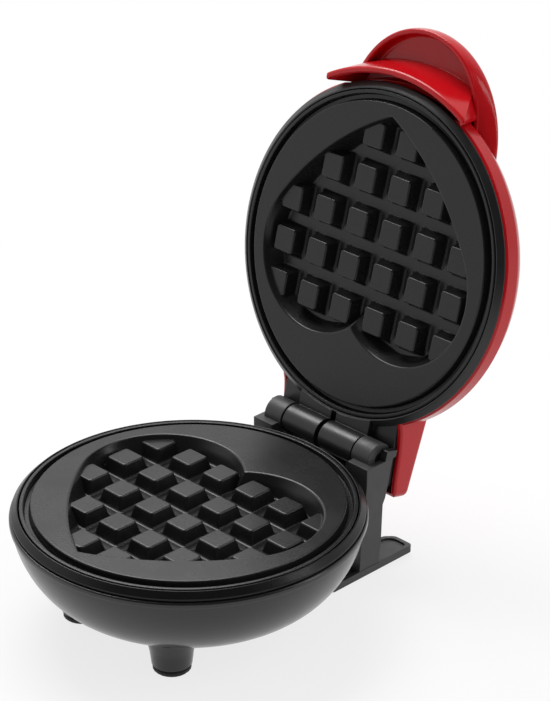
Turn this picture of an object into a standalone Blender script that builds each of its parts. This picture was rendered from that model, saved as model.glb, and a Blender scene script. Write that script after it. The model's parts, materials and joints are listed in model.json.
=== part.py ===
"""Mini waffle maker with heart plates, standing with its lid open on the stop.

All sizes are in metres. Heights are measured from the rim plane of the lower plate, with
+Y towards the hinge. The lid's pieces are drawn in the closed position and hang from an
empty on the hinge axis, which holds them open.
"""

import math

import bmesh
import bpy
from mathutils import Matrix, Vector

# Overall sizes
PLATE_RADIUS = 0.0598
CLOSED_SPACE = 0.0053
OPEN_ANGLE = math.radians(104.4)
HINGE_REACH = 0.0060
HINGE_Z = 0.0018
LEG_HEIGHT = 0.0093

# Clearances and drawing values
GAP = 0.0003
PAST = 0.0015
TURN_STEPS = 48
INNER_STEPS = 32
ROUND_SIDES = 24
SCREW_SIDES = 12
WELD = 0.000001
BEVEL_ANGLE = math.radians(40)

# Cooking plates
PLATEAU_Z = 0.0022
RIM_WIDTH = 0.0014
CHANNEL_WIDTH = 0.0026
CHANNEL_Z = -0.0012
PLATE_RIM_Z = 0.0015
PLATE_EDGE = 0.0004
FLANGE_THICKNESS = 0.0028
FLANGE_LAP = 0.0043
CORE_INSET = 0.0040
PLATE_FLOOR = 0.0021
# The heart, in shares of the plateau's radius
LOBE_X_SHARE = 0.3584
LOBE_Y_SHARE = 0.0950
LOBE_RADIUS_SHARE = 0.5340
SIDE_RADIUS_SHARE = 1.9980
TIP_Y_SHARE = -0.9265
HEART_LOBE_STEPS = 16
HEART_SIDE_STEPS = 5
HEART_EDGE = 0.0005
HEART_DRAFT = 0.47
RECESS_DEPTH = 0.0072
BLOCK_HEIGHT = 0.0053
BLOCK_WIDTH = 0.0093
BLOCK_PITCH = 0.01655
BLOCK_FIRST_Y = 0.0234
BLOCK_DRAFT = 0.26
BLOCK_EDGE = 0.0006
BLOCK_COLUMNS = (-2.5, -1.5, -0.5, 0.5, 1.5, 2.5)
BLOCK_ROWS = (0, 1, 2, 3, 4)

# Rings that hold the plates
RING_WALL = 0.0012
RING_SLOPE_Z = -0.0006
RING_SLOPE_WIDTH = 0.0027
RING_BEAD = 0.0010
LEDGE_THICKNESS = 0.0023
LID_RING_DEPTH = 0.0070
LIP_STEP = 0.0007

# Heater stack, the same under the lower plate and behind the upper one
ELEMENT_INSET = 0.0135
ELEMENT_TUBE = 0.0032
ELEMENT_OPENING = math.radians(22)
ELEMENT_STEPS = 30
FIXING_INSET = 0.0090
FIXING_ANGLES = (math.radians(-90), math.radians(30), math.radians(150))
FIXING_BOSS_RADIUS = 0.0045
FIXING_BOSS_LENGTH = 0.0067
SHIELD_THICKNESS = 0.0008
SHIELD_PLAY = 0.0005
SHIELD_TAPER = 0.0040
SHIELD_RISE = 0.0041
SHIELD_LAP = 0.0025
LEAD_HOLE_RADIUS = 0.0030
THERMOSTAT_RADIUS = 0.0080
THERMOSTAT_CAN_RADIUS = 0.0055
THERMOSTAT_HEIGHT = 0.0090
THERMOSTAT_CAP = 0.0030
FUSE_RADIUS = 0.0020
FUSE_LENGTH = 0.0110

# Screws
SCREW_RADIUS = 0.0016
SCREW_HEAD_RADIUS = 0.0032
SCREW_HEAD_HEIGHT = 0.0020
SCREW_DIMPLE = 0.0012
SCREW_GRIP = 0.0045

# Base bowl
SHELL_WALL = 0.0020
BOWL_LIP_Z = -0.0019
BOWL_LIP_HEIGHT = 0.0020
LIP_PROUD = 0.0006
BOWL_SIDE_WIDTH = 0.0379
BOWL_DEPTH = 0.0300
BOWL_ROUND = 3.04
BOWL_DROP = 1.47
BOWL_STEPS = 9
BOWL_POST_RADIUS = 0.0050
FOOT_X = 0.0238
FOOT_INSET = 0.0321
FOOT_RADIUS = 0.0068
FOOT_HEIGHT = 0.0022
FOOT_EDGE = 0.0006
LEG_RADIUS = 0.0077
LEG_END_RADIUS = 0.0072
LEG_ROOT = 0.0059
TERMINAL_SIZE = (0.018, 0.010, 0.007)
TERMINAL_INSET = 0.0020
TERMINAL_PAD_SIZE = (0.012, 0.007, 0.0016)
BUSHING_HEIGHT = 0.0119
BUSHING_RADIUS = 0.0046
BUSHING_BORE = 0.0031
BUSHING_FLANGE_RADIUS = 0.0062
BUSHING_FLANGE = 0.0016
LEAD_RADIUS = 0.0011
LEAD_SPREAD = 0.0016
UPPER_LEAD_RADIUS = 0.0007
# Across and back in shares of the shield's radius, height in shares of the shield's depth
UPPER_LEAD_SHARES = ((0.224, 0.793, 1.087), (0.207, 0.983, 0.725), (0.155, 1.138, 0.490))

# Hinge and its stand
POST_OUTER_X = 0.0293
POST_WIDTH = 0.0098
POST_REAR_REACH = 0.0047
# Back from the hinge in ear radii, and height in shares of the post's height
POST_OUTLINE_SHARES = (
    (-1.5, 0.832),
    (-1.917, 0.295),
    (-2.0, 0.049),
    (-0.3, 0.049),
    (-0.133, 0.273),
    (-0.05, 0.608),
    (0.167, 0.664),
    (0.683, 0.944),
)
POST_EAR_STEP = 0.0026
EAR_LENGTH = 0.0084
EAR_RADIUS = 0.0060
KNUCKLE_INNER_X = 0.0010
KNUCKLE_RADIUS = 0.0058
SIDE_PLAY = 0.0004
PIN_RADIUS = 0.0020
PIN_SHORT = 0.0012
WEB_REACH = 0.0195
WEB_SETBACK = 0.0030
WEB_TOP_Z = -0.0060
TAB_THICKNESS = 0.0028
TAB_REACH = 0.0165
# Across in shares of the post's outer x, and back from the hinge in shares of the reach
TAB_OUTLINE_SHARES = ((1.007, -1.697), (1.007, 1), (0.7065, 1), (0.6075, 0.818), (0.478, -0.121))
PAD_RADIUS = 0.0045
PAD_THICKNESS = 0.0013
PAD_STANDOUT = 0.0005
PAD_INSET = 0.0058
PAD_REACH = 0.0065
STAND_SCREW_X = 0.0140
STAND_SCREW_SETBACK = 0.0045
STAND_BOSS_RADIUS = 0.0042

# Neck of the lid frame
NECK_INSET = 0.0015
NECK_ROOT = 0.0195
NECK_REACH = 0.0135
NECK_LOW_Z = 0.0066
NECK_HIGH_Z = 0.0093
NECK_CORNER = 0.0040
ARM_LOW_Z = 0.0036
CHEEK_PLAY = 0.0005
CHEEK_WIDTH = 0.0026
CHEEK_REACH = 0.0040
CHEEK_HIGH_Z = 0.0073
HEEL_SCREW_X = 0.0120
HEEL_SCREW_REACH = 0.0080
HEEL_BOSS_RADIUS = 0.0040
HEEL_BOSS_HIGH_Z = 0.0180

# Lid shell
DOME_STEP = 0.0010
DOME_TOP_Z = 0.0270
DOME_ROUND = 6.0
DOME_RISE = 1.5
DOME_STEPS = 11
HEEL_MARGIN = 0.0006
HEEL_WALL = 0.0018
HEEL_EDGE = 0.0022
HEEL_REACH = 0.0158
HEEL_END_LOW_Z = 0.0125
HEEL_END_HIGH_Z = 0.0165
HEEL_BACK_STEP = 0.0028
HEEL_BACK_Z = 0.0189
HEEL_ROOT = 0.0245
HEEL_ROOT_Z = 0.0225
# Back from the hinge in shares of the reach, and height in shares of the end's low edge
HEEL_LOW_LINE_SHARES = (
    (-1.551, 0.336),
    (-0.994, 0.376),
    (-0.684, 0.544),
    (-0.380, 0.632),
    (-0.082, 0.688),
    (0.215, 0.720),
    (0.519, 0.752),
    (0.918, 0.824),
)
VISOR_LOW_Z = 0.0020
VISOR_DROP = 0.0080
VISOR_LOW_REACH = 0.0045
VISOR_HIGH_REACH = 0.0073
VISOR_WALL = 0.0026
VISOR_HOLLOW_Z = 0.0105
VISOR_SIDE_X = 0.0350
VISOR_SIDE_INSET = 0.0065
VISOR_SIDE_FLARE = 0.64
VISOR_SIDE_LEAN = 0.38
VISOR_FRONT_REACH = 0.0265
HANDLE_HALF_WIDTH = 0.0365
HANDLE_HALF_DEPTH = 0.0393
HANDLE_STEPS = 44
# Each section's height, half width, half depth and centre, in shares of the dome's top, of
# the handle's two halves and of the lip's radius
HANDLE_SECTION_SHARES = (
    (0.519, 0.8356, 0.7990, -0.8142),
    (0.741, 1, 1, -0.6850),
    (0.833, 0.9178, 0.9033, -0.6693),
    (0.907, 0.7397, 0.7252, -0.6299),
    (0.956, 0.4932, 0.5089, -0.5512),
)
HANDLE_WALL = 0.0020
POCKET_CEILING = 0.0005
LENS_INSET = 0.0235
LENS_RADIUS = 0.0026
LENS_SUNK = 0.0002
LENS_DEPTH = 0.0050
LENS_FLANGE_RADIUS = 0.0038
LENS_FLANGE = 0.0010

# Radii that follow from the plate's
CHANNEL_RADIUS = PLATE_RADIUS - RIM_WIDTH
PLATEAU_RADIUS = CHANNEL_RADIUS - CHANNEL_WIDTH
LEDGE_RADIUS = PLATE_RADIUS - FLANGE_LAP
PLATE_CORE_RADIUS = LEDGE_RADIUS - CORE_INSET
RING_RADIUS = PLATE_RADIUS + GAP
RING_SLOPE_RADIUS = RING_RADIUS + RING_SLOPE_WIDTH
POCKET_RADIUS = RING_RADIUS + RING_WALL + GAP
LIP_RADIUS = RING_SLOPE_RADIUS + LIP_STEP
BOWL_RADIUS = LIP_RADIUS - LIP_PROUD
BOWL_FLAT_RADIUS = BOWL_RADIUS - BOWL_SIDE_WIDTH
DOME_RADIUS = LIP_RADIUS - DOME_STEP
ELEMENT_RADIUS = PLATE_CORE_RADIUS - ELEMENT_INSET
FIXING_RADIUS = ELEMENT_RADIUS - FIXING_INSET
SHIELD_RADIUS = LEDGE_RADIUS + SHIELD_LAP
SHIELD_WALL_RADIUS = PLATE_CORE_RADIUS + SHIELD_PLAY
SHIELD_FLAT_RADIUS = SHIELD_WALL_RADIUS - SHIELD_TAPER
HEART_LOBE_X = PLATEAU_RADIUS * LOBE_X_SHARE
HEART_LOBE_Y = PLATEAU_RADIUS * LOBE_Y_SHARE
HEART_LOBE_RADIUS = PLATEAU_RADIUS * LOBE_RADIUS_SHARE
HEART_SIDE_RADIUS = PLATEAU_RADIUS * SIDE_RADIUS_SHARE
HEART_TIP_Y = PLATEAU_RADIUS * TIP_Y_SHARE
VISOR_LOW_RADIUS = LIP_RADIUS + VISOR_LOW_REACH
VISOR_HIGH_RADIUS = LIP_RADIUS + VISOR_HIGH_REACH
BORE_RADIUS = SCREW_RADIUS + GAP
HEAD_BORE_RADIUS = SCREW_HEAD_RADIUS + GAP
PIN_BORE_RADIUS = PIN_RADIUS + GAP

# Heights that follow from one another
FLANGE_Z = CHANNEL_Z - FLANGE_THICKNESS
RECESS_Z = PLATEAU_Z - RECESS_DEPTH
BLOCK_Z = RECESS_Z + BLOCK_HEIGHT
CORE_Z = RECESS_Z - PLATE_FLOOR
LEDGE_Z = FLANGE_Z - GAP
LEDGE_LOW_Z = LEDGE_Z - LEDGE_THICKNESS
BOSS_Z = CORE_Z - FIXING_BOSS_LENGTH
SHIELD_Z = BOSS_Z - GAP
SHIELD_LOW_Z = SHIELD_Z - SHIELD_THICKNESS
SHIELD_WALL_Z = SHIELD_Z + SHIELD_RISE
POST_TOP_Z = SHIELD_LOW_Z - GAP
ELEMENT_Z = CORE_Z - GAP - ELEMENT_TUBE
BOWL_TOP_Z = BOWL_LIP_Z - BOWL_LIP_HEIGHT
BOWL_LOW_Z = BOWL_TOP_Z - BOWL_DEPTH
SEAT_Z = BOWL_LOW_Z + SHELL_WALL + SCREW_HEAD_HEIGHT
TERMINAL_Z = BOWL_LOW_Z + SHELL_WALL + TERMINAL_PAD_SIZE[2]
BUSHING_Z = BOWL_LOW_Z + BUSHING_HEIGHT
STAND_SCREW_Z = (BOWL_LOW_Z + SHIELD_LOW_Z) / 2
LEG_TOP_Z = BOWL_LOW_Z + LEG_ROOT
FLOOR_Z = BOWL_LOW_Z - LEG_HEIGHT
RIM_HEIGHT = -FLOOR_Z
FOOT_TOP_Z = FLOOR_Z + FOOT_HEIGHT
TAB_Z = FLOOR_Z + PAD_STANDOUT
PAD_TOP_Z = FLOOR_Z + PAD_THICKNESS
SHOULDER_Z = HINGE_Z - GAP
DOME_LOW_Z = CLOSED_SPACE + LID_RING_DEPTH + GAP
VISOR_HIGH_Z = DOME_TOP_Z - VISOR_DROP
POCKET_TOP_Z = VISOR_HIGH_Z - POCKET_CEILING
LENS_TOP_Z = DOME_TOP_Z - LENS_SUNK
LENS_LOW_Z = DOME_TOP_Z - LENS_DEPTH

# Places along the maker, towards the hinge, that follow from the radii
HINGE_Y = LIP_RADIUS + HINGE_REACH
HINGE = Vector((0, HINGE_Y, HINGE_Z))
STOP_SLOPE = -1 / math.tan(OPEN_ANGLE)
POST_REAR_Y = HINGE_Y + POST_REAR_REACH
WEB_FRONT_Y = HINGE_Y - WEB_REACH
WEB_REAR_Y = HINGE_Y - WEB_SETBACK
PAD_Y = HINGE_Y + PAD_REACH
STAND_SCREW_END_Y = WEB_REAR_Y - STAND_SCREW_SETBACK
NECK_FRONT_Y = HINGE_Y - NECK_ROOT
CHEEK_FRONT_Y = HINGE_Y - CHEEK_REACH
HEEL_END_Y = HINGE_Y + HEEL_REACH
HEEL_BACK_Y = HEEL_END_Y - HEEL_BACK_STEP
HEEL_ROOT_Y = HINGE_Y - HEEL_ROOT
TERMINAL_Y = FIXING_RADIUS - TERMINAL_INSET
FUSE_Y = -(THERMOSTAT_RADIUS + FIXING_RADIUS - BOWL_POST_RADIUS) / 2
FOOT_Y = FOOT_INSET - BOWL_RADIUS
VISOR_SIDE_Y = VISOR_SIDE_INSET - LIP_RADIUS
VISOR_FRONT_Y = -LIP_RADIUS - VISOR_FRONT_REACH
LENS_Y = LENS_INSET - LIP_RADIUS

# Places across the maker that follow from the posts
POST_INNER_X = POST_OUTER_X - POST_WIDTH
EAR_OUTER_X = POST_OUTER_X - POST_EAR_STEP
EAR_INNER_X = EAR_OUTER_X - EAR_LENGTH
KNUCKLE_OUTER_X = EAR_INNER_X - SIDE_PLAY
PAD_X = POST_OUTER_X - PAD_INSET
CHEEK_INNER_X = EAR_OUTER_X + CHEEK_PLAY
CHEEK_OUTER_X = CHEEK_INNER_X + CHEEK_WIDTH
NECK_X = CHEEK_OUTER_X - NECK_INSET
HEEL_X = CHEEK_OUTER_X + HEEL_MARGIN

for leftover in list(bpy.data.objects):
    bpy.data.objects.remove(leftover, do_unlink=True)

PARTS = bpy.data.collections.new("mini_waffle_maker")
CUTTERS = bpy.data.collections.new("cutters")
CUTTERS.hide_render = True
for group in (PARTS, CUTTERS):
    bpy.context.scene.collection.children.link(group)


def axis_empty(name, parent, location, tilt):
    """An empty that carries the pieces of one body."""
    empty = bpy.data.objects.new(name, None)
    PARTS.objects.link(empty)
    empty.parent = parent
    empty.location = location
    empty.rotation_euler = (tilt, 0, 0)
    return empty


ROOT = axis_empty("base_frame", None, (0, 0, RIM_HEIGHT), 0)
LID_AXIS = axis_empty("lid_hinge_axis", ROOT, HINGE, -OPEN_ANGLE)

# A frame is the empty that carries a piece, and where the piece's own drawing lies in it.
# UPPER turns a piece that is drawn for the base over onto the lid.
BASE = (ROOT, Matrix.Identity(4))
LID = (LID_AXIS, Matrix.Translation(-HINGE))
TURN_OVER = Matrix.Translation((0, 0, CLOSED_SPACE)) @ Matrix.Rotation(math.pi, 4, "Y")
UPPER = (LID_AXIS, Matrix.Translation(-HINGE) @ TURN_OVER)


def placed(name, data, frame):
    """A shape in its frame, kept with the cutters until finish() makes it a piece."""
    item = bpy.data.objects.new(name, data)
    CUTTERS.objects.link(item)
    item.display_type = "WIRE"
    item.parent = frame[0]
    item.matrix_local = frame[1]
    return item


def finish(item, material):
    """Turns a shape into a visible piece."""
    CUTTERS.objects.unlink(item)
    PARTS.objects.link(item)
    item.display_type = "TEXTURED"
    item.data.materials.clear()
    item.data.materials.append(material)
    return item


def mesh_from(name, builder):
    """A mesh made from a bmesh, with its faces turned outwards."""
    bmesh.ops.recalc_face_normals(builder, faces=builder.faces)
    mesh = bpy.data.meshes.new(name)
    builder.to_mesh(mesh)
    builder.free()
    return mesh


def turned(name, profile, frame, centre=(0, 0), steps=TURN_STEPS):
    """A profile of (radius, height), listed down its outer side, turned round an upright axis."""
    mesh = bpy.data.meshes.new(name)
    count = len(profile)
    edges = [(i, i + 1) for i in range(count - 1)]
    if profile[0][0] > 0 or profile[-1][0] > 0:
        edges.append((count - 1, 0))
    mesh.from_pydata([(radius, 0, height) for radius, height in profile], edges, [])
    item = placed(name, mesh, frame)
    item.matrix_local = frame[1] @ Matrix.Translation((centre[0], centre[1], 0))
    screw = item.modifiers.new("turn", "SCREW")
    screw.steps = steps
    screw.render_steps = steps
    screw.use_merge_vertices = True
    screw.merge_threshold = WELD
    screw.use_smooth_shade = False
    return item


def rod(name, radius, start, end, frame, end_radius=None, sides=ROUND_SIDES):
    """A round bar, or a cone, between two points."""
    start, end = Vector(start), Vector(end)
    along = end - start
    turn = Vector((0, 0, 1)).rotation_difference(along).to_matrix().to_4x4()
    builder = bmesh.new()
    bmesh.ops.create_cone(
        builder,
        cap_ends=True,
        segments=sides,
        radius1=radius,
        radius2=radius if end_radius is None else end_radius,
        depth=along.length,
        matrix=Matrix.Translation((start + end) / 2) @ turn,
    )
    return placed(name, mesh_from(name, builder), frame)


def box(name, low, high, frame):
    """A block between two opposite corners."""
    low, high = Vector(low), Vector(high)
    builder = bmesh.new()
    size = Matrix.Diagonal((*(high - low), 1))
    bmesh.ops.create_cube(builder, size=1, matrix=Matrix.Translation((low + high) / 2) @ size)
    return placed(name, mesh_from(name, builder), frame)


def mesh_of_curve(name, curve):
    """The mesh of a curve, with its caps joined to its sides."""
    holder = bpy.data.objects.new(name, curve)
    CUTTERS.objects.link(holder)
    graph = bpy.context.evaluated_depsgraph_get()
    mesh = bpy.data.meshes.new_from_object(holder.evaluated_get(graph))
    bpy.data.objects.remove(holder)
    builder = bmesh.new()
    builder.from_mesh(mesh)
    bmesh.ops.remove_doubles(builder, verts=builder.verts, dist=WELD)
    bpy.data.meshes.remove(mesh)
    return mesh_from(name, builder)


def curve_through(name, points, closed, flat):
    """A curve of straight runs through the points."""
    curve = bpy.data.curves.new(name, "CURVE")
    curve.dimensions = "2D" if flat else "3D"
    spline = curve.splines.new("POLY")
    spline.points.add(len(points) - 1)
    for place, point in zip(spline.points, points):
        place.co = (*point, 0, 1) if flat else (*point, 1)
    spline.use_cyclic_u = closed
    return curve


def prism(name, outline, low, high, frame, sideways=False):
    """An outline drawn flat and thickened: upwards from (x, y), or sideways from (y, z)."""
    curve = curve_through(name, outline, True, True)
    curve.fill_mode = "BOTH"
    curve.extrude = (high - low) / 2
    mesh = mesh_of_curve(name, curve)
    mesh.transform(Matrix.Translation((0, 0, (low + high) / 2)))
    if sideways:
        mesh.transform(Matrix(((0, 0, 1, 0), (1, 0, 0, 0), (0, 1, 0, 0), (0, 0, 0, 1))))
    return placed(name, mesh, frame)


def tube(name, points, radius, frame):
    """A round wire or tube along the points."""
    curve = curve_through(name, points, False, False)
    curve.bevel_depth = radius
    curve.bevel_resolution = 2
    curve.use_fill_caps = True
    return placed(name, mesh_of_curve(name, curve), frame)


def lofted(name, sections, frame):
    """A solid through rings of equally many points."""
    builder = bmesh.new()
    rings = [[builder.verts.new(point) for point in section] for section in sections]
    for lower, upper in zip(rings, rings[1:]):
        for i in range(len(lower)):
            builder.faces.new((lower[i - 1], lower[i], upper[i], upper[i - 1]))
    builder.faces.new(rings[0])
    builder.faces.new(rings[-1])
    return placed(name, mesh_from(name, builder), frame)


def combine(item, other, operation):
    """Cuts the other shape from this one, or joins it on."""
    boolean = item.modifiers.new(other.name, "BOOLEAN")
    boolean.operation = operation
    boolean.solver = "EXACT"
    boolean.object = other
    return item


def cut(item, *others):
    for other in others:
        combine(item, other, "DIFFERENCE")
    return item


def join(item, *others):
    for other in others:
        combine(item, other, "UNION")
    return item


def keep(item, other):
    """Keeps only what lies inside the other shape."""
    return combine(item, other, "INTERSECT")


def eased(item, width, segments=1):
    """Takes the sharpness off every corner edge."""
    bevel = item.modifiers.new("ease", "BEVEL")
    bevel.width = width
    bevel.segments = segments
    bevel.limit_method = "ANGLE"
    bevel.angle_limit = BEVEL_ANGLE
    return item


def material(name, colour, roughness, metallic=0.0, coat=0.0):
    made = bpy.data.materials.new(name)
    made.use_nodes = True
    shader = made.node_tree.nodes["Principled BSDF"]
    shader.inputs["Base Color"].default_value = (*colour, 1)
    shader.inputs["Roughness"].default_value = roughness
    shader.inputs["Metallic"].default_value = metallic
    shader.inputs["Coat Weight"].default_value = coat
    made.diffuse_color = (*colour, 1)
    return made


def red_plastic(name):
    return material(name, (0.60, 0.010, 0.014), 0.22, coat=0.6)


def grey_plastic(name):
    return material(name, (0.045, 0.046, 0.049), 0.25, coat=0.5)


def black_plastic(name):
    return material(name, (0.016, 0.016, 0.017), 0.38)


def nonstick(name):
    return material(name, (0.030, 0.031, 0.033), 0.42)


def soft_rubber(name):
    return material(name, (0.012, 0.012, 0.012), 0.75)


def steel(name):
    return material(name, (0.55, 0.55, 0.54), 0.32, metallic=1.0)


def sheet_aluminium(name):
    return material(name, (0.72, 0.73, 0.74), 0.40, metallic=1.0)


def ceramic_body(name):
    return material(name, (0.72, 0.68, 0.60), 0.55)


def wire_cover(name):
    return material(name, (0.75, 0.74, 0.70), 0.50)


def clear_red(name):
    return material(name, (0.75, 0.05, 0.03), 0.10, coat=0.3)


def heart_outline(offset):
    """The heart as (x, y) points, moved outwards by the offset. Its sides are long arcs that
    leave the lobes smoothly and meet at the tip."""
    lobe = Vector((HEART_LOBE_X, HEART_LOBE_Y))
    reach = HEART_SIDE_RADIUS - HEART_LOBE_RADIUS
    to_tip = Vector((0, HEART_TIP_Y)) - lobe
    along = (HEART_SIDE_RADIUS**2 - reach**2 - to_tip.length_squared) / (2 * reach)
    leave = math.atan2(to_tip.y, to_tip.x) + math.acos(along / to_tip.length)
    side = lobe - reach * Vector((math.cos(leave), math.sin(leave)))
    side_radius = HEART_SIDE_RADIUS + offset
    lobe_radius = HEART_LOBE_RADIUS + offset
    tip_angle = math.atan2(-math.sqrt(side_radius**2 - side.x**2), -side.x)
    notch_angle = math.atan2(math.sqrt(lobe_radius**2 - lobe.x**2), -lobe.x)
    half = []
    for i in range(HEART_SIDE_STEPS):
        angle = tip_angle + (leave - tip_angle) * i / HEART_SIDE_STEPS
        half.append((side.x + side_radius * math.cos(angle), side.y + side_radius * math.sin(angle)))
    for i in range(HEART_LOBE_STEPS + 1):
        angle = leave + (notch_angle - leave) * i / HEART_LOBE_STEPS
        half.append((lobe.x + lobe_radius * math.cos(angle), lobe.y + lobe_radius * math.sin(angle)))
    half[0] = (0, half[0][1])
    half[-1] = (0, half[-1][1])
    return half + [(-x, y) for x, y in half[-2:0:-1]]


def heart_recess(name, frame):
    """The room of the batter: a heart with leaning walls, less the grid of blocks."""
    stages = (
        (PLATEAU_Z + PAST, HEART_EDGE),
        (PLATEAU_Z, HEART_EDGE),
        (PLATEAU_Z - HEART_EDGE, 0),
        (RECESS_Z, -HEART_DRAFT * (RECESS_DEPTH - HEART_EDGE)),
    )
    sections = [[(x, y, z) for x, y in heart_outline(offset)] for z, offset in stages]
    room = lofted(name + "_heart", sections, frame)
    builder = bmesh.new()
    depth = BLOCK_HEIGHT + PAST
    top = BLOCK_WIDTH / 2
    foot = top + BLOCK_DRAFT * depth
    for column in BLOCK_COLUMNS:
        for row in BLOCK_ROWS:
            centre = (column * BLOCK_PITCH, BLOCK_FIRST_Y - row * BLOCK_PITCH, BLOCK_Z - depth / 2)
            bmesh.ops.create_cone(
                builder,
                cap_ends=True,
                segments=4,
                radius1=foot * math.sqrt(2),
                radius2=top * math.sqrt(2),
                depth=depth,
                matrix=Matrix.Translation(centre) @ Matrix.Rotation(math.pi / 4, 4, "Z"),
            )
    blocks = eased(placed(name + "_blocks", mesh_from(name, builder), frame), BLOCK_EDGE)
    return cut(room, blocks)


def fixing_points():
    """The three places where the screws go up into a plate."""
    return [
        (FIXING_RADIUS * math.cos(angle), FIXING_RADIUS * math.sin(angle)) for angle in FIXING_ANGLES
    ]


def element_end(side):
    angle = math.pi / 2 - side * ELEMENT_OPENING
    return ELEMENT_RADIUS * math.cos(angle), ELEMENT_RADIUS * math.sin(angle)


def plate(name, frame):
    """One cooking plate, with its overflow channel, heart recess and screw bosses."""
    profile = (
        (0, PLATEAU_Z),
        (PLATEAU_RADIUS - PLATE_EDGE, PLATEAU_Z),
        (PLATEAU_RADIUS, PLATEAU_Z - PLATE_EDGE),
        (PLATEAU_RADIUS + PLATE_EDGE, CHANNEL_Z),
        (CHANNEL_RADIUS - PLATE_EDGE, CHANNEL_Z),
        (CHANNEL_RADIUS, PLATE_RIM_Z - PLATE_EDGE),
        (CHANNEL_RADIUS + PLATE_EDGE, PLATE_RIM_Z),
        (PLATE_RADIUS - PLATE_EDGE, PLATE_RIM_Z),
        (PLATE_RADIUS, PLATE_RIM_Z - PLATE_EDGE),
        (PLATE_RADIUS, FLANGE_Z),
        (PLATE_CORE_RADIUS, FLANGE_Z),
        (PLATE_CORE_RADIUS - PLATE_EDGE, CORE_Z),
        (0, CORE_Z),
    )
    body = turned(name, profile, frame)
    cut(body, heart_recess(name + "_recess", frame))
    for number, (x, y) in enumerate(fixing_points()):
        start = (x, y, CORE_Z + PLATE_FLOOR / 2)
        join(body, rod(f"{name}_boss_{number}", FIXING_BOSS_RADIUS, start, (x, y, BOSS_Z), frame))
        bore = rod(f"{name}_bore_{number}", BORE_RADIUS, (x, y, CORE_Z), (x, y, BOSS_Z - PAST), frame)
        cut(body, bore)
    return finish(body, nonstick(name))


def heating_element(name, frame):
    """The horseshoe tube that lies against the back of a plate."""
    turn = 2 * math.pi - 2 * ELEMENT_OPENING
    points = []
    for i in range(ELEMENT_STEPS + 1):
        angle = math.pi / 2 + ELEMENT_OPENING + turn * i / ELEMENT_STEPS
        points.append((ELEMENT_RADIUS * math.cos(angle), ELEMENT_RADIUS * math.sin(angle), ELEMENT_Z))
    return finish(tube(name, points, ELEMENT_TUBE, frame), steel(name))


def heat_shield(name, frame):
    """The pressed dish behind an element, whose flange clamps the ring's ledge."""
    top = LEDGE_LOW_Z - GAP
    hole = THERMOSTAT_RADIUS + PAST
    wall = SHIELD_WALL_RADIUS + SHIELD_THICKNESS
    profile = (
        (SHIELD_RADIUS, top),
        (SHIELD_RADIUS, top - SHIELD_THICKNESS),
        (wall, top - SHIELD_THICKNESS),
        (wall, SHIELD_WALL_Z),
        (SHIELD_FLAT_RADIUS + SHIELD_THICKNESS / 2, SHIELD_LOW_Z),
        (hole, SHIELD_LOW_Z),
        (hole, SHIELD_Z),
        (SHIELD_FLAT_RADIUS, SHIELD_Z),
        (SHIELD_WALL_RADIUS, SHIELD_WALL_Z),
        (SHIELD_WALL_RADIUS, top),
    )
    body = turned(name, profile, frame, steps=INNER_STEPS)
    holes = [(x, y, BORE_RADIUS) for x, y in fixing_points()]
    holes += [(*element_end(side), LEAD_HOLE_RADIUS) for side in (-1, 1)]
    for number, (x, y, radius) in enumerate(holes):
        start, end = (x, y, SHIELD_Z + PAST), (x, y, SHIELD_LOW_Z - PAST)
        cut(body, rod(f"{name}_hole_{number}", radius, start, end, frame))
    return finish(body, sheet_aluminium(name))


def screw(name, centre, seat_z, end_z, frame):
    """A pan-head screw that stands on its head."""
    head_z = seat_z - GAP - SCREW_HEAD_HEIGHT
    profile = (
        (0, end_z),
        (SCREW_RADIUS / 2, end_z),
        (SCREW_RADIUS, end_z - SCREW_RADIUS / 2),
        (SCREW_RADIUS, seat_z - GAP),
        (SCREW_HEAD_RADIUS, seat_z - GAP),
        (SCREW_HEAD_RADIUS, head_z + SCREW_HEAD_HEIGHT / 2),
        (SCREW_HEAD_RADIUS * 3 / 4, head_z),
        (SCREW_DIMPLE, head_z),
        (0, head_z + SCREW_DIMPLE),
    )
    return finish(turned(name, profile, frame, centre, SCREW_SIDES), steel(name))


def bowl_curve(inset):
    """Points (radius, height) of the bowl's outside, or of a skin inside it, from the top down."""
    points = []
    for i in range(BOWL_STEPS + 1):
        angle = math.pi / 2 * i / BOWL_STEPS
        width = (BOWL_RADIUS - inset - BOWL_FLAT_RADIUS) * math.cos(angle) ** (2 / BOWL_ROUND)
        drop = (BOWL_DEPTH - inset) * math.sin(angle) ** (2 / BOWL_DROP)
        points.append((BOWL_FLAT_RADIUS + width, BOWL_TOP_Z - drop))
    points[-1] = (BOWL_FLAT_RADIUS, points[-1][1])
    return points


def bowl_room_radius(height):
    """The radius of the bowl's inside at a height."""
    sine = ((BOWL_TOP_Z - height) / (BOWL_DEPTH - SHELL_WALL)) ** (BOWL_DROP / 2)
    cosine = math.sqrt(1 - sine**2)
    return BOWL_FLAT_RADIUS + (BOWL_SIDE_WIDTH - SHELL_WALL) * cosine ** (2 / BOWL_ROUND)


def stand_screw_seat():
    """Where the stand screws' heads sit, with their lower edges clear of the bowl's wall."""
    wall = bowl_room_radius(STAND_SCREW_Z - SCREW_HEAD_RADIUS)
    return math.sqrt(wall**2 - (STAND_SCREW_X + SCREW_HEAD_RADIUS) ** 2) - GAP - GAP


def bowl_solid(name, spare, top_z):
    """The bowl's outside as one solid, grown by a spare distance for what fits to it."""
    lip = LIP_RADIUS + spare
    edge = BOWL_LIP_HEIGHT / 4
    profile = [
        (0, top_z),
        (lip - edge, top_z),
        (lip, top_z - edge),
        (lip, BOWL_TOP_Z + edge),
        *bowl_curve(-spare),
        (0, BOWL_LOW_Z - spare),
    ]
    return turned(name, profile, BASE)


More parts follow.
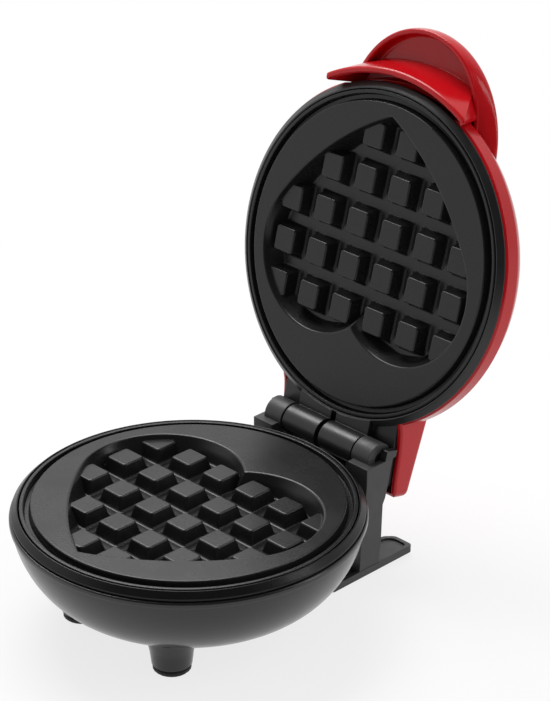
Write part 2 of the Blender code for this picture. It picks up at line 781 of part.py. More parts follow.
def bowl_room():
    """The hollow of the bowl, less the posts, bosses and pad that stand in it."""
    pocket_z = LEDGE_LOW_Z - GAP
    top_z = BOWL_LIP_Z + PAST
    skin = [point for point in bowl_curve(SHELL_WALL) if point[1] < pocket_z - GAP]
    profile = [(0, top_z), (POCKET_RADIUS, top_z), (POCKET_RADIUS, pocket_z), (skin[0][0], pocket_z)]
    room = turned("bowl_room", [*profile, *skin, (0, skin[-1][1])], BASE)
    for number, (x, y) in enumerate(fixing_points()):
        ends = (x, y, BOWL_LOW_Z), (x, y, POST_TOP_Z)
        cut(room, rod(f"bowl_post_{number}", BOWL_POST_RADIUS, *ends, BASE))
    for side in (-1, 1):
        x = side * STAND_SCREW_X
        ends = (x, stand_screw_seat(), STAND_SCREW_Z), (x, LIP_RADIUS, STAND_SCREW_Z)
        cut(room, rod(f"bowl_stand_boss_{side}", STAND_BOSS_RADIUS, *ends, BASE))
    pad_x, pad_y, _ = (size / 2 for size in TERMINAL_PAD_SIZE)
    low = (-pad_x, TERMINAL_Y - pad_y, BOWL_LOW_Z)
    high = (pad_x, TERMINAL_Y + pad_y, TERMINAL_Z - GAP)
    return cut(room, box("bowl_terminal_pad", low, high, BASE))


def base_bowl():
    """The grey bowl that carries the lower plate, its heater, the feet and the stand."""
    body = cut(bowl_solid("base_bowl", 0, BOWL_LIP_Z), bowl_room())
    for side in (-1, 1):
        start = (side * FOOT_X, FOOT_Y, FOOT_TOP_Z + GAP)
        end = (side * FOOT_X, FOOT_Y, LEG_TOP_Z)
        join(body, rod(f"bowl_leg_{side}", LEG_END_RADIUS, start, end, BASE, LEG_RADIUS))
    for number, (x, y) in enumerate(fixing_points()):
        low_z = BOWL_LOW_Z - PAST
        bore = rod(f"bowl_bore_{number}", BORE_RADIUS, (x, y, low_z), (x, y, POST_TOP_Z + PAST), BASE)
        sink = rod(f"bowl_sink_{number}", HEAD_BORE_RADIUS, (x, y, low_z), (x, y, SEAT_Z), BASE)
        cut(body, bore, sink)
    cut(body, *stand_bores("bowl"), cord_bore("bowl"))
    return finish(body, grey_plastic("base_bowl"))


def stand_bores(name):
    """The holes for the two screws that hold the stand to the bowl."""
    bores = []
    for side in (-1, 1):
        start = (side * STAND_SCREW_X, stand_screw_seat() - PAST, STAND_SCREW_Z)
        end = (side * STAND_SCREW_X, STAND_SCREW_END_Y + GAP, STAND_SCREW_Z)
        bores.append(rod(f"{name}_stand_bore_{side}", BORE_RADIUS, start, end, BASE))
    return bores


def cord_bore(name):
    """The hole where the mains cord comes in."""
    start = (0, WEB_FRONT_Y - PAST, BUSHING_Z)
    end = (0, WEB_REAR_Y + PAST, BUSHING_Z)
    return rod(f"{name}_cord_bore", BUSHING_RADIUS + GAP, start, end, BASE)


def base_collar():
    """The black ring between the lower plate and the bowl's lip."""
    outer = RING_RADIUS + RING_WALL
    profile = (
        (RING_RADIUS + PLATE_EDGE, PLATE_RIM_Z),
        (RING_SLOPE_RADIUS, RING_SLOPE_Z),
        (RING_SLOPE_RADIUS, RING_SLOPE_Z - PLATE_EDGE),
        (RING_SLOPE_RADIUS - PLATE_EDGE, BOWL_LIP_Z + GAP),
        (outer, BOWL_LIP_Z + GAP),
        (outer, LEDGE_LOW_Z),
        (LEDGE_RADIUS, LEDGE_LOW_Z),
        (LEDGE_RADIUS, LEDGE_Z),
        (RING_RADIUS, LEDGE_Z),
        (RING_RADIUS, PLATE_RIM_Z - PLATE_EDGE),
    )
    return finish(turned("base_collar", profile, BASE), black_plastic("base_collar"))


def thermostat():
    """The snap disc under the middle of the lower plate."""
    top = CORE_Z - GAP
    cap = top - THERMOSTAT_CAP
    profile = (
        (0, top),
        (THERMOSTAT_CAN_RADIUS, top),
        (THERMOSTAT_CAN_RADIUS, cap),
        (THERMOSTAT_RADIUS, cap),
        (THERMOSTAT_RADIUS, top - THERMOSTAT_HEIGHT),
        (0, top - THERMOSTAT_HEIGHT),
    )
    return finish(turned("thermostat", profile, BASE, steps=ROUND_SIDES), ceramic_body("thermostat"))


def thermal_fuse():
    """The small cut-out clipped under the lower heat shield."""
    height = SHIELD_LOW_Z - GAP - FUSE_RADIUS
    start, end = (-FUSE_LENGTH / 2, FUSE_Y, height), (FUSE_LENGTH / 2, FUSE_Y, height)
    return finish(rod("thermal_fuse", FUSE_RADIUS, start, end, BASE), steel("thermal_fuse"))


def terminal_block():
    """The block on the bowl's floor where the cord's wires end."""
    x, y, z = TERMINAL_SIZE
    low = (-x / 2, TERMINAL_Y - y / 2, TERMINAL_Z)
    high = (x / 2, TERMINAL_Y + y / 2, TERMINAL_Z + z)
    body = eased(box("terminal_block", low, high, BASE), PLATE_EDGE)
    return finish(body, ceramic_body("terminal_block"))


def base_leads():
    """Wires from the cord's bushing to the terminal block, and on to the lower element."""
    top = TERMINAL_Z + TERMINAL_SIZE[2]
    back = TERMINAL_Y + TERMINAL_SIZE[1] / 2
    for side, word in ((-1, "left"), (1, "right")):
        near_x = side * LEAD_SPREAD
        block_x = side * TERMINAL_SIZE[0] / 4
        middle_z = TERMINAL_Z + TERMINAL_SIZE[2] / 2
        points = (
            (near_x, WEB_FRONT_Y + BUSHING_FLANGE, BUSHING_Z),
            (near_x, WEB_FRONT_Y - BUSHING_FLANGE, BUSHING_Z),
            (block_x, back + TERMINAL_SIZE[1] / 2, middle_z),
            (block_x, back + GAP, middle_z),
        )
        name = f"supply_lead_{word}"
        finish(tube(name, points, LEAD_RADIUS, BASE), wire_cover(name))
        x, y = element_end(side)
        end_z = ELEMENT_Z - ELEMENT_TUBE - GAP
        points = (
            (block_x, TERMINAL_Y, top + GAP),
            (block_x, TERMINAL_Y, (top + SHIELD_LOW_Z) / 2),
            (x, y, SHIELD_LOW_Z - LEAD_HOLE_RADIUS),
            (x, y, end_z),
        )
        name = f"element_lead_{word}"
        finish(tube(name, points, LEAD_RADIUS, BASE), wire_cover(name))


def cord_bushing():
    """The sleeve through the stand and the bowl that the cord comes in by."""
    start, end = (0, WEB_FRONT_Y, BUSHING_Z), (0, WEB_REAR_Y + GAP + BUSHING_FLANGE, BUSHING_Z)
    body = rod("cord_bushing", BUSHING_RADIUS, start, end, BASE)
    flange_start = (0, WEB_REAR_Y + GAP, BUSHING_Z)
    join(body, rod("bushing_flange", BUSHING_FLANGE_RADIUS, flange_start, end, BASE))
    past = Vector((0, PAST, 0))
    cut(body, rod("bushing_bore", BUSHING_BORE, Vector(start) - past, Vector(end) + past, BASE))
    return finish(body, soft_rubber("cord_bushing"))


def front_foot(side, word):
    """A round rubber foot under a leg of the bowl."""
    profile = (
        (0, FOOT_TOP_Z),
        (FOOT_RADIUS - FOOT_EDGE, FOOT_TOP_Z),
        (FOOT_RADIUS, FOOT_TOP_Z - FOOT_EDGE),
        (FOOT_RADIUS, FLOOR_Z + FOOT_EDGE),
        (FOOT_RADIUS - FOOT_EDGE, FLOOR_Z),
        (0, FLOOR_Z),
    )
    name = f"front_foot_{word}"
    body = turned(name, profile, BASE, (side * FOOT_X, FOOT_Y), ROUND_SIDES)
    return finish(body, soft_rubber(name))


def hinge_rod(name, radius, start_x, end_x, side, frame):
    """A round shape on the hinge axis, on one side of the middle."""
    start = (side * start_x, HINGE_Y, HINGE_Z)
    return rod(name, radius, start, (side * end_x, HINGE_Y, HINGE_Z), frame)


def post_outline():
    """A post from the side as (y, z), from its shoulder under the hinge down to the tab."""
    height = SHOULDER_Z - FLOOR_Z
    points = [
        (HINGE_Y + back * EAR_RADIUS, FLOOR_Z + up * height) for back, up in POST_OUTLINE_SHARES
    ]
    return [(points[0][0], SHOULDER_Z), *points, (POST_REAR_Y, SHOULDER_Z)]


def hinge_stand():
    """The black stand behind the bowl: two posts with hinge ears, a web and two foot tabs."""
    web_low = (-POST_INNER_X - GAP, WEB_FRONT_Y, BOWL_LOW_Z)
    web_high = (POST_INNER_X + GAP, WEB_REAR_Y, WEB_TOP_Z)
    body = box("hinge_stand", web_low, web_high, BASE)
    outline = post_outline()
    for side in (-1, 1):
        near, far = sorted((side * POST_INNER_X, side * POST_OUTER_X))
        join(body, prism(f"stand_post_{side}", outline, near, far, BASE, sideways=True))
        join(body, hinge_rod(f"stand_ear_{side}", EAR_RADIUS, EAR_INNER_X, EAR_OUTER_X, side, BASE))
        tab = [
            (side * across * POST_OUTER_X, HINGE_Y + back * TAB_REACH) for across, back in TAB_OUTLINE_SHARES
        ]
        join(body, prism(f"stand_tab_{side}", tab, TAB_Z, TAB_Z + TAB_THICKNESS, BASE))
    for side in (-1, 1):
        start, end = EAR_INNER_X - PAST, EAR_OUTER_X + GAP
        cut(body, hinge_rod(f"stand_pin_bore_{side}", PIN_BORE_RADIUS, start, end, side, BASE))
    cut(body, bowl_solid("stand_saddle", GAP, HINGE_Z + EAR_RADIUS))
    cut(body, *stand_bores("stand"), cord_bore("stand"))
    for side in (-1, 1):
        start, end = (side * PAD_X, PAD_Y, FLOOR_Z - PAST), (side * PAD_X, PAD_Y, PAD_TOP_Z + GAP)
        cut(body, rod(f"stand_pad_seat_{side}", PAD_RADIUS + GAP, start, end, BASE))
    return finish(body, black_plastic("hinge_stand"))


def stand_screw(side, word):
    """A screw from inside the bowl into the stand's web."""
    name = f"stand_screw_{word}"
    place = Matrix.Translation((side * STAND_SCREW_X, 0, STAND_SCREW_Z))
    frame = (ROOT, place @ Matrix.Rotation(-math.pi / 2, 4, "X"))
    return screw(name, (0, 0), stand_screw_seat(), STAND_SCREW_END_Y, frame)


def rear_pad(side, word):
    """The anti-slip pad let into the underside of a foot tab."""
    name = f"rear_pad_{word}"
    start, end = (side * PAD_X, PAD_Y, FLOOR_Z), (side * PAD_X, PAD_Y, PAD_TOP_Z)
    return finish(rod(name, PAD_RADIUS, start, end, BASE), soft_rubber(name))


def hinge_pin(side, word):
    """The pin through one ear of the stand and one knuckle of the lid."""
    name = f"hinge_pin_{word}"
    start, end = KNUCKLE_INNER_X + PIN_SHORT, EAR_OUTER_X - PIN_SHORT
    return finish(hinge_rod(name, PIN_RADIUS, start, end, side, BASE), steel(name))


def frame_ring():
    """The ring of the lid frame, drawn for the base and turned over."""
    low = -LID_RING_DEPTH
    profile = (
        (RING_RADIUS + PLATE_EDGE, PLATE_RIM_Z),
        (RING_SLOPE_RADIUS - PLATE_EDGE, RING_SLOPE_Z),
        (RING_SLOPE_RADIUS - PLATE_EDGE, RING_SLOPE_Z - RING_BEAD),
        (LIP_RADIUS - PLATE_EDGE, RING_SLOPE_Z - RING_BEAD),
        (LIP_RADIUS, RING_SLOPE_Z - RING_BEAD - PLATE_EDGE),
        (LIP_RADIUS, low),
        (RING_RADIUS + RING_WALL, low),
        (RING_RADIUS + RING_WALL, LEDGE_LOW_Z),
        (LEDGE_RADIUS, LEDGE_LOW_Z),
        (LEDGE_RADIUS, LEDGE_Z),
        (RING_RADIUS, LEDGE_Z),
        (RING_RADIUS, PLATE_RIM_Z - PLATE_EDGE),
    )
    return turned("lid_frame", profile, UPPER)


def ring_room(name):
    """The space inside the lid frame's ring, which its neck must leave free."""
    radius = RING_RADIUS + RING_WALL / 2
    return rod(name, radius, (0, 0, 0), (0, 0, DOME_LOW_Z), LID, sides=TURN_STEPS)


def neck_outline():
    rear = HINGE_Y + NECK_REACH
    half = [(NECK_X, NECK_FRONT_Y), (NECK_X, rear - NECK_CORNER), (NECK_X - NECK_CORNER, rear)]
    return half + [(-x, y) for x, y in reversed(half)]


def heel_screw_points():
    return [(side * HEEL_SCREW_X, HINGE_Y + HEEL_SCREW_REACH) for side in (-1, 1)]


def lid_frame():
    """The black frame of the lid: ring, neck with the hinge knuckles, and the stop cheeks."""
    body = frame_ring()
    neck = prism("neck_plate", neck_outline(), NECK_LOW_Z, NECK_HIGH_Z, LID)
    middle_z = (NECK_LOW_Z + NECK_HIGH_Z) / 2
    for side in (-1, 1):
        near, far = sorted((side * (KNUCKLE_INNER_X + GAP), side * (KNUCKLE_OUTER_X - GAP)))
        arm = box(f"neck_arm_{side}", (near, NECK_FRONT_Y, ARM_LOW_Z), (far, HINGE_Y, middle_z), LID)
        knuckle = (f"neck_knuckle_{side}", KNUCKLE_RADIUS, KNUCKLE_INNER_X, KNUCKLE_OUTER_X)
        join(neck, arm, hinge_rod(*knuckle, side, LID))
        room = (f"neck_ear_room_{side}", EAR_RADIUS + SIDE_PLAY, KNUCKLE_OUTER_X - GAP, CHEEK_INNER_X + GAP)
        cut(neck, hinge_rod(*room, side, LID))
        low_z, high_z = SHOULDER_Z + SIDE_PLAY, CHEEK_HIGH_Z
        cheek = (
            (CHEEK_FRONT_Y, low_z),
            (HINGE_Y - (low_z - HINGE_Z) * STOP_SLOPE, low_z),
            (HINGE_Y - (high_z - HINGE_Z) * STOP_SLOPE, high_z),
            (CHEEK_FRONT_Y, high_z),
        )
        near, far = sorted((side * CHEEK_INNER_X, side * CHEEK_OUTER_X))
        join(neck, prism(f"neck_cheek_{side}", cheek, near, far, LID, sideways=True))
    cut(neck, ring_room("neck_ring_room"))
    join(body, neck)
    for side in (-1, 1):
        bore = (f"neck_pin_bore_{side}", PIN_BORE_RADIUS, 0, KNUCKLE_OUTER_X + PAST)
        cut(body, hinge_rod(*bore, side, LID))
    for number, (x, y) in enumerate(heel_screw_points()):
        start, end = (x, y, NECK_LOW_Z - PAST), (x, y, NECK_HIGH_Z + PAST)
        cut(body, rod(f"neck_screw_hole_{number}", BORE_RADIUS, start, end, LID))
    return finish(body, black_plastic("lid_frame"))


def dome_curve(inset):
    """Points (radius, height) of the dome's outside, or of a skin inside it, from the top down."""
    points = []
    rise = DOME_TOP_Z - DOME_LOW_Z - inset
    for i in range(DOME_STEPS + 1):
        angle = math.pi / 2 * (1 - i / DOME_STEPS)
        width = (DOME_RADIUS - inset) * math.cos(angle) ** (2 / DOME_ROUND)
        points.append((width, DOME_LOW_Z + rise * math.sin(angle) ** (2 / DOME_RISE)))
    points[0] = (0, points[0][1])
    return points


def heel_outline(inset):
    """The heel from the side as (y, z), or the room inside it."""
    end_y = HEEL_END_Y - inset
    if inset:
        low = [(HEEL_ROOT_Y - PAST, 0), (end_y, 0)]
    else:
        low = [
            (HINGE_Y + back * HEEL_REACH, up * HEEL_END_LOW_Z) for back, up in HEEL_LOW_LINE_SHARES
        ]
    return low + [
        (end_y, HEEL_END_LOW_Z),
        (end_y, HEEL_END_HIGH_Z - inset),
        (HEEL_BACK_Y - inset, HEEL_BACK_Z - inset),
        (low[0][0], HEEL_ROOT_Z - inset),
    ]


def handle_sections():
    """Each section of the handle as its height, half width, half depth and centre y."""
    sizes = (DOME_TOP_Z, HANDLE_HALF_WIDTH, HANDLE_HALF_DEPTH, LIP_RADIUS)
    return [
        tuple(size * share for size, share in zip(sizes, shares)) for shares in HANDLE_SECTION_SHARES
    ]


def ellipse(section, inset):
    """A ring of points at the section's height, drawn in by the inset."""
    height, half_width, half_depth, centre_y = section
    points = []
    for i in range(HANDLE_STEPS):
        angle = 2 * math.pi * i / HANDLE_STEPS
        x = (half_width - inset) * math.cos(angle)
        points.append((x, centre_y + (half_depth - inset) * math.sin(angle), height))
    return points


def visor_radius(height):
    share = (height - VISOR_LOW_Z) / (VISOR_HIGH_Z - VISOR_LOW_Z)
    return VISOR_LOW_RADIUS + (VISOR_HIGH_RADIUS - VISOR_LOW_RADIUS) * share


def visor_side(height, inset):
    """The corners, at one height, of the region that the visor takes up."""
    corners = []
    for y in (VISOR_FRONT_Y, VISOR_SIDE_Y):
        lean = VISOR_SIDE_LEAN * (height - VISOR_LOW_Z)
        corners.append((VISOR_SIDE_X - inset - lean + VISOR_SIDE_FLARE * (y - VISOR_SIDE_Y), y))
    (front_x, front_y), (back_x, back_y) = corners
    return [
        (front_x, front_y, height),
        (back_x, back_y, height),
        (-back_x, back_y, height),
        (-front_x, front_y, height),
    ]


def visor(name, low_z, high_z, inset):
    """The part of a cone about the lid's middle that hangs in front of the ring."""
    low, high = visor_radius(low_z) - inset, visor_radius(high_z) - inset
    cone = turned(name, [(0, high_z), (high, high_z), (low, low_z), (0, low_z)], LID)
    sides = (visor_side(low_z - PAST, inset), visor_side(high_z + PAST, inset))
    return keep(cone, lofted(name + "_sides", sides, LID))


def lid_shell():
    """The red cover of the lid, with its heel over the hinge, its visor and its hollow handle."""
    body = turned("lid_shell", [*dome_curve(0), (0, DOME_LOW_Z)], LID)
    heel = prism("shell_heel", heel_outline(0), -HEEL_X, HEEL_X, LID, sideways=True)
    sections = handle_sections()
    handle = lofted("shell_handle", [ellipse(section, 0) for section in sections], LID)
    rim = sections[0]
    ends = ((rim[0] - PAST, *rim[1:]), (POCKET_TOP_Z, *rim[1:]))
    pocket = lofted("shell_pocket", [ellipse(end, HANDLE_WALL) for end in ends], LID)
    join(body, eased(heel, HEEL_EDGE, 2), cut(handle, pocket))
    join(body, visor("shell_visor", VISOR_LOW_Z, VISOR_HIGH_Z, 0))

    hollow = visor("visor_room", VISOR_LOW_Z - PAST, VISOR_HOLLOW_Z, VISOR_WALL)
    ring = rod("ring_room", LIP_RADIUS + GAP, (0, 0, 0), (0, 0, DOME_LOW_Z), LID, sides=TURN_STEPS)
    inner = dome_curve(SHELL_WALL)
    dome_room = turned("dome_room", [*inner, (inner[-1][0], 0), (0, 0)], LID)
    inner_x = HEEL_X - HEEL_WALL
    heel_room = prism("heel_room", heel_outline(HEEL_WALL), -inner_x, inner_x, LID, sideways=True)
    cut(body, hollow, ring, dome_room, heel_room)
    for number, (x, y) in enumerate(heel_screw_points()):
        low_z = NECK_HIGH_Z + GAP
        boss_ends = (x, y, low_z), (x, y, HEEL_BOSS_HIGH_Z)
        join(body, rod(f"heel_boss_{number}", HEEL_BOSS_RADIUS, *boss_ends, LID))
        bore_ends = (x, y, low_z - PAST), (x, y, low_z + SCREW_GRIP + PAST)
        cut(body, rod(f"heel_bore_{number}", BORE_RADIUS, *bore_ends, LID))
    start, end = (0, LENS_Y, LENS_LOW_Z), (0, LENS_Y, DOME_TOP_Z + PAST)
    cut(body, rod("lens_hole", LENS_RADIUS + GAP, start, end, LID))
    return finish(body, red_plastic("lid_shell"))


def indicator_lens():
    """The small light pipe in the top of the lid."""
    profile = (
        (0, LENS_TOP_Z),
        (LENS_RADIUS - PLATE_EDGE, LENS_TOP_Z),
        (LENS_RADIUS, LENS_TOP_Z - PLATE_EDGE),
        (LENS_RADIUS, LENS_LOW_Z + LENS_FLANGE),
        (LENS_FLANGE_RADIUS, LENS_LOW_Z + LENS_FLANGE),
        (LENS_FLANGE_RADIUS, LENS_LOW_Z),
        (0, LENS_LOW_Z),
    )
    body = turned("indicator_lens", profile, LID, (0, LENS_Y), ROUND_SIDES)
    return finish(body, clear_red("indicator_lens"))


def upper_leads():
    """Wires from the upper element over the edge of its shield and into the heel."""
    for side, word in ((-1, "left"), (1, "right")):
        x, y = element_end(side)
        route = [
            (side * across * SHIELD_RADIUS, back * SHIELD_RADIUS, depth * SHIELD_LOW_Z)
            for across, back, depth in UPPER_LEAD_SHARES
        ]
        points = [(x, y, ELEMENT_Z - ELEMENT_TUBE - GAP), (x, y, route[0][2]), *route]
        name = f"upper_lead_{word}"
        finish(tube(name, points, UPPER_LEAD_RADIUS, UPPER), wire_cover(name))


def stand_on_floor():
    """Moves the object so that the middle of its footprint is the origin."""
    bpy.context.view_layer.update()
    graph = bpy.context.evaluated_depsgraph_get()
    corners = []
    for item in PARTS.objects:
        if item.type == "MESH":
            whole = item.evaluated_get(graph)
            corners += [whole.matrix_world @ vertex.co for vertex in whole.data.vertices]
    for axis in (0, 1):
        values = [corner[axis] for corner in corners]
        ROOT.location[axis] -= (min(values) + max(values)) / 2


for prefix, frame in (("lower", BASE), ("upper", UPPER)):
    plate(f"{prefix}_plate", frame)
    heating_element(f"{prefix}_element", frame)
    heat_shield(f"{prefix}_reflector", frame)
for number, point in enumerate(fixing_points()):
    screw(f"base_screw_{number + 1}", point, SEAT_Z, BOSS_Z + SCREW_GRIP, BASE)
    screw(f"upper_screw_{number + 1}", point, SHIELD_LOW_Z, BOSS_Z + SCREW_GRIP, UPPER)
for side, word in ((-1, "left"), (1, "right")):
    front_foot(side, word)
    rear_pad(side, word)
    hinge_pin(side, word)
    stand_screw(side, word)
    low_z = NECK_HIGH_Z + GAP
    heel_point = (side * HEEL_SCREW_X, HINGE_Y + HEEL_SCREW_REACH)
    screw(f"heel_screw_{word}", heel_point, NECK_LOW_Z, low_z + SCREW_GRIP, LID)
base_bowl()
base_collar()
thermostat()
thermal_fuse()
terminal_block()
base_leads()
cord_bushing()
hinge_stand()
lid_frame()
lid_shell()
indicator_lens()
upper_leads()
stand_on_floor()
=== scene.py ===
"""Mini waffle maker with heart plates: its finishes, its smooth mouldings and the studio.

Sizes are in millimetres in the maker's own frame, whose origin is the middle of the lower
plate's rim plane, with +Y towards the hinge. The lid's pieces are drawn as if it were shut.
"""

import json
import math

import bmesh
import bpy
import numpy as np
from mathutils import Matrix, Vector


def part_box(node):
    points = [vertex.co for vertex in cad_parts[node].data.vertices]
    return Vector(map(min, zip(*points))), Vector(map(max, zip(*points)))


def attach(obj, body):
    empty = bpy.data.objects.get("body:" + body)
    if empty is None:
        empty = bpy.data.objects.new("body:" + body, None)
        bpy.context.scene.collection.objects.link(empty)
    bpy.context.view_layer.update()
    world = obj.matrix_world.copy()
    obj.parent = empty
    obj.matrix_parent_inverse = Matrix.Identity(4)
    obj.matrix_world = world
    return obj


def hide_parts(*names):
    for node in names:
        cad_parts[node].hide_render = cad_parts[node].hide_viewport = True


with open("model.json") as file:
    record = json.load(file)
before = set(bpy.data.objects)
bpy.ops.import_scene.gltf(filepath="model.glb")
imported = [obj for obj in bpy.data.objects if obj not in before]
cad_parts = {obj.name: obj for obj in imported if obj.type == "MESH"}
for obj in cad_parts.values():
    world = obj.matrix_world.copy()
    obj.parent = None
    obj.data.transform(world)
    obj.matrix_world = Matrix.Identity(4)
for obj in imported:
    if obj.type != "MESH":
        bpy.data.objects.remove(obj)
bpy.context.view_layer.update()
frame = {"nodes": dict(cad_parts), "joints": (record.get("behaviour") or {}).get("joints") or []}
nodes = frame["nodes"]
scene = bpy.context.scene

# The camera: a long lens above the maker's right front corner, as in the photograph.
# It looks down on both plates, and its frame holds the whole maker with little to spare.
# The rim plane of the lower plate is what it is placed from.
PLATEAU = 2.2
MM = 0.001
bowl_low, bowl_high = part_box("base_bowl")
rim_centre = (bowl_low + bowl_high) / 2
rim_centre.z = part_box("lower_plate")[1].z - PLATEAU * MM

FOCAL_LENGTH = 131.43
FILM = 36.0
NEAREST = 0.05
AZIMUTH = math.radians(45.297)
ELEVATION = math.radians(26.379)
ROLL = math.radians(0.161)
DISTANCE = 903.75
FRAME_RIGHT = -30.254
FRAME_UP = -54.223

camera_data = bpy.data.cameras.new("camera")
camera_data.sensor_fit = "VERTICAL"
camera_data.sensor_height = FILM
camera_data.sensor_width = FILM
camera_data.lens = FOCAL_LENGTH
camera_data.clip_start = NEAREST
camera = bpy.data.objects.new("camera", camera_data)
scene.collection.objects.link(camera)
scene.camera = camera
back = Vector(
    (
        math.sin(AZIMUTH) * math.cos(ELEVATION),
        -math.cos(AZIMUTH) * math.cos(ELEVATION),
        math.sin(ELEVATION),
    )
)
right = Vector((math.cos(AZIMUTH), math.sin(AZIMUTH), 0))
up = back.cross(right)
eye = rim_centre + (back * DISTANCE - right * FRAME_RIGHT - up * FRAME_UP) * MM
rolled_right = right * math.cos(ROLL) + up * math.sin(ROLL)
rolled_up = up * math.cos(ROLL) - right * math.sin(ROLL)
camera.matrix_world = Matrix(
    [(rolled_right[i], rolled_up[i], back[i], eye[i]) for i in range(3)] + [(0, 0, 0, 1)]
)

# The studio: a white sweep under an even sky, one broad lamp high on the left and a strip on
# the right behind the lid. Sweep and backdrop look white to the camera and in what mirrors
# them, but the room on the camera's side mirrors dark. The sweep's shadow fades with distance.
scene.view_settings.view_transform = "Standard"
SWEEP = 3.0
SWEEP_DROP = 0.0004
SWEEP_PALE = (0.86, 0.86, 0.86, 1)
WHITE = (1, 1, 1, 1)
SKY_LIGHT = 0.42
SHADOW_SHARE = 0.22
SHADOW_REACH = (0.08, 0.32)
ROOM_SIDE = (0.78, -0.45, 0.43)
ROOM_SHADE = 0.06
ROOM_EDGE = (-0.10, 0.60)


def node_adder(tree):
    """Clears a node tree and returns a function that adds a node with its settings."""
    tree.nodes.clear()

    def add(kind, **settings):
        node = tree.nodes.new(kind)
        for key, value in settings.items():
            setattr(node, key, value)
        return node

    return add


def smooth_step(add, start_and_end, low_and_high):
    """A soft step of a value from one level to another."""
    step = add("ShaderNodeMapRange", interpolation_type="SMOOTHSTEP")
    step.inputs["From Min"].default_value = start_and_end[0]
    step.inputs["From Max"].default_value = start_and_end[1]
    step.inputs["To Min"].default_value = low_and_high[0]
    step.inputs["To Max"].default_value = low_and_high[1]
    return step


world = bpy.data.worlds.new("studio_sky")
scene.world = world
world.use_nodes = True
add = node_adder(world.node_tree)
wire = world.node_tree.links.new
rays = add("ShaderNodeLightPath")
lit = add("ShaderNodeBackground")
lit.inputs["Strength"].default_value = SKY_LIGHT
mirrored = add("ShaderNodeBackground")
seen = add("ShaderNodeBackground")
for sky in (lit, mirrored, seen):
    sky.inputs["Color"].default_value = WHITE
direction = add("ShaderNodeTexCoord")
towards_room = add("ShaderNodeVectorMath", operation="DOT_PRODUCT")
towards_room.inputs[1].default_value = Vector(ROOM_SIDE).normalized()
shade = smooth_step(add, ROOM_EDGE, (1.0, ROOM_SHADE))
in_mirror = add("ShaderNodeMath", operation="MAXIMUM")
unseen = add("ShaderNodeMixShader")
whole = add("ShaderNodeMixShader")
result = add("ShaderNodeOutputWorld")
wire(direction.outputs["Generated"], towards_room.inputs[0])
wire(towards_room.outputs["Value"], shade.inputs["Value"])
wire(shade.outputs["Result"], mirrored.inputs["Strength"])
wire(rays.outputs["Is Glossy Ray"], in_mirror.inputs[0])
wire(rays.outputs["Is Transmission Ray"], in_mirror.inputs[1])
wire(in_mirror.outputs["Value"], unseen.inputs["Fac"])
wire(lit.outputs["Background"], unseen.inputs[1])
wire(mirrored.outputs["Background"], unseen.inputs[2])
wire(rays.outputs["Is Camera Ray"], whole.inputs["Fac"])
wire(unseen.outputs["Shader"], whole.inputs[1])
wire(seen.outputs["Background"], whole.inputs[2])
wire(whole.outputs["Shader"], result.inputs["Surface"])

floor_mesh = bpy.data.meshes.new("floor")
floor_mesh.from_pydata(
    [(-SWEEP, -SWEEP, 0), (SWEEP, -SWEEP, 0), (SWEEP, SWEEP, 0), (-SWEEP, SWEEP, 0)],
    [],
    [(0, 1, 2, 3)],
)
floor = bpy.data.objects.new("floor", floor_mesh)
scene.collection.objects.link(floor)
floor.location.z = -SWEEP_DROP
white_sweep = bpy.data.materials.new("white_sweep")
white_sweep.use_nodes = True
add = node_adder(white_sweep.node_tree)
matte = add("ShaderNodeBsdfDiffuse")
matte.inputs["Color"].default_value = SWEEP_PALE
bright = add("ShaderNodeEmission")
bright.inputs["Color"].default_value = WHITE
rays = add("ShaderNodeLightPath")
in_mirror = add("ShaderNodeMath", operation="MAXIMUM")
in_view = add("ShaderNodeMath", operation="MAXIMUM")
place = add("ShaderNodeTexCoord")
from_middle = add("ShaderNodeVectorMath", operation="LENGTH")
fade = smooth_step(add, SHADOW_REACH, (1 - SHADOW_SHARE, 1.0))
cover = add("ShaderNodeMath", operation="MULTIPLY")
blend = add("ShaderNodeMixShader")
result = add("ShaderNodeOutputMaterial")
wire = white_sweep.node_tree.links.new
wire(rays.outputs["Is Glossy Ray"], in_mirror.inputs[0])
wire(rays.outputs["Is Transmission Ray"], in_mirror.inputs[1])
wire(in_mirror.outputs["Value"], in_view.inputs[0])
wire(rays.outputs["Is Camera Ray"], in_view.inputs[1])
wire(place.outputs["Object"], from_middle.inputs[0])
wire(from_middle.outputs["Value"], fade.inputs["Value"])
wire(fade.outputs["Result"], cover.inputs[1])
wire(in_view.outputs["Value"], cover.inputs[0])
wire(cover.outputs["Value"], blend.inputs["Fac"])
wire(matte.outputs["BSDF"], blend.inputs[1])
wire(bright.outputs["Emission"], blend.inputs[2])
wire(blend.outputs["Shader"], result.inputs["Surface"])
floor_mesh.materials.append(white_sweep)


def soft_lamp(name, place, aim, width, height, power):
    """A rectangular soft box that looks at a point of the maker. Place and aim in metres."""
    data = bpy.data.lights.new(name, "AREA")
    data.shape = "RECTANGLE"
    data.size = width
    data.size_y = height
    data.energy = power
    lamp = bpy.data.objects.new(name, data)
    scene.collection.objects.link(lamp)
    lamp.location = place
    lamp.rotation_euler = (Vector(place) - Vector(aim)).to_track_quat("Z", "Y").to_euler()


soft_lamp("key_box", (-0.55, 0.20, 1.0), aim=(0, 0, 0.07), width=0.7, height=0.7, power=12)
soft_lamp("rim_strip", (0.75, 0.55, 0.55), aim=(0, 0.05, 0.10), width=0.25, height=0.9, power=2.5)

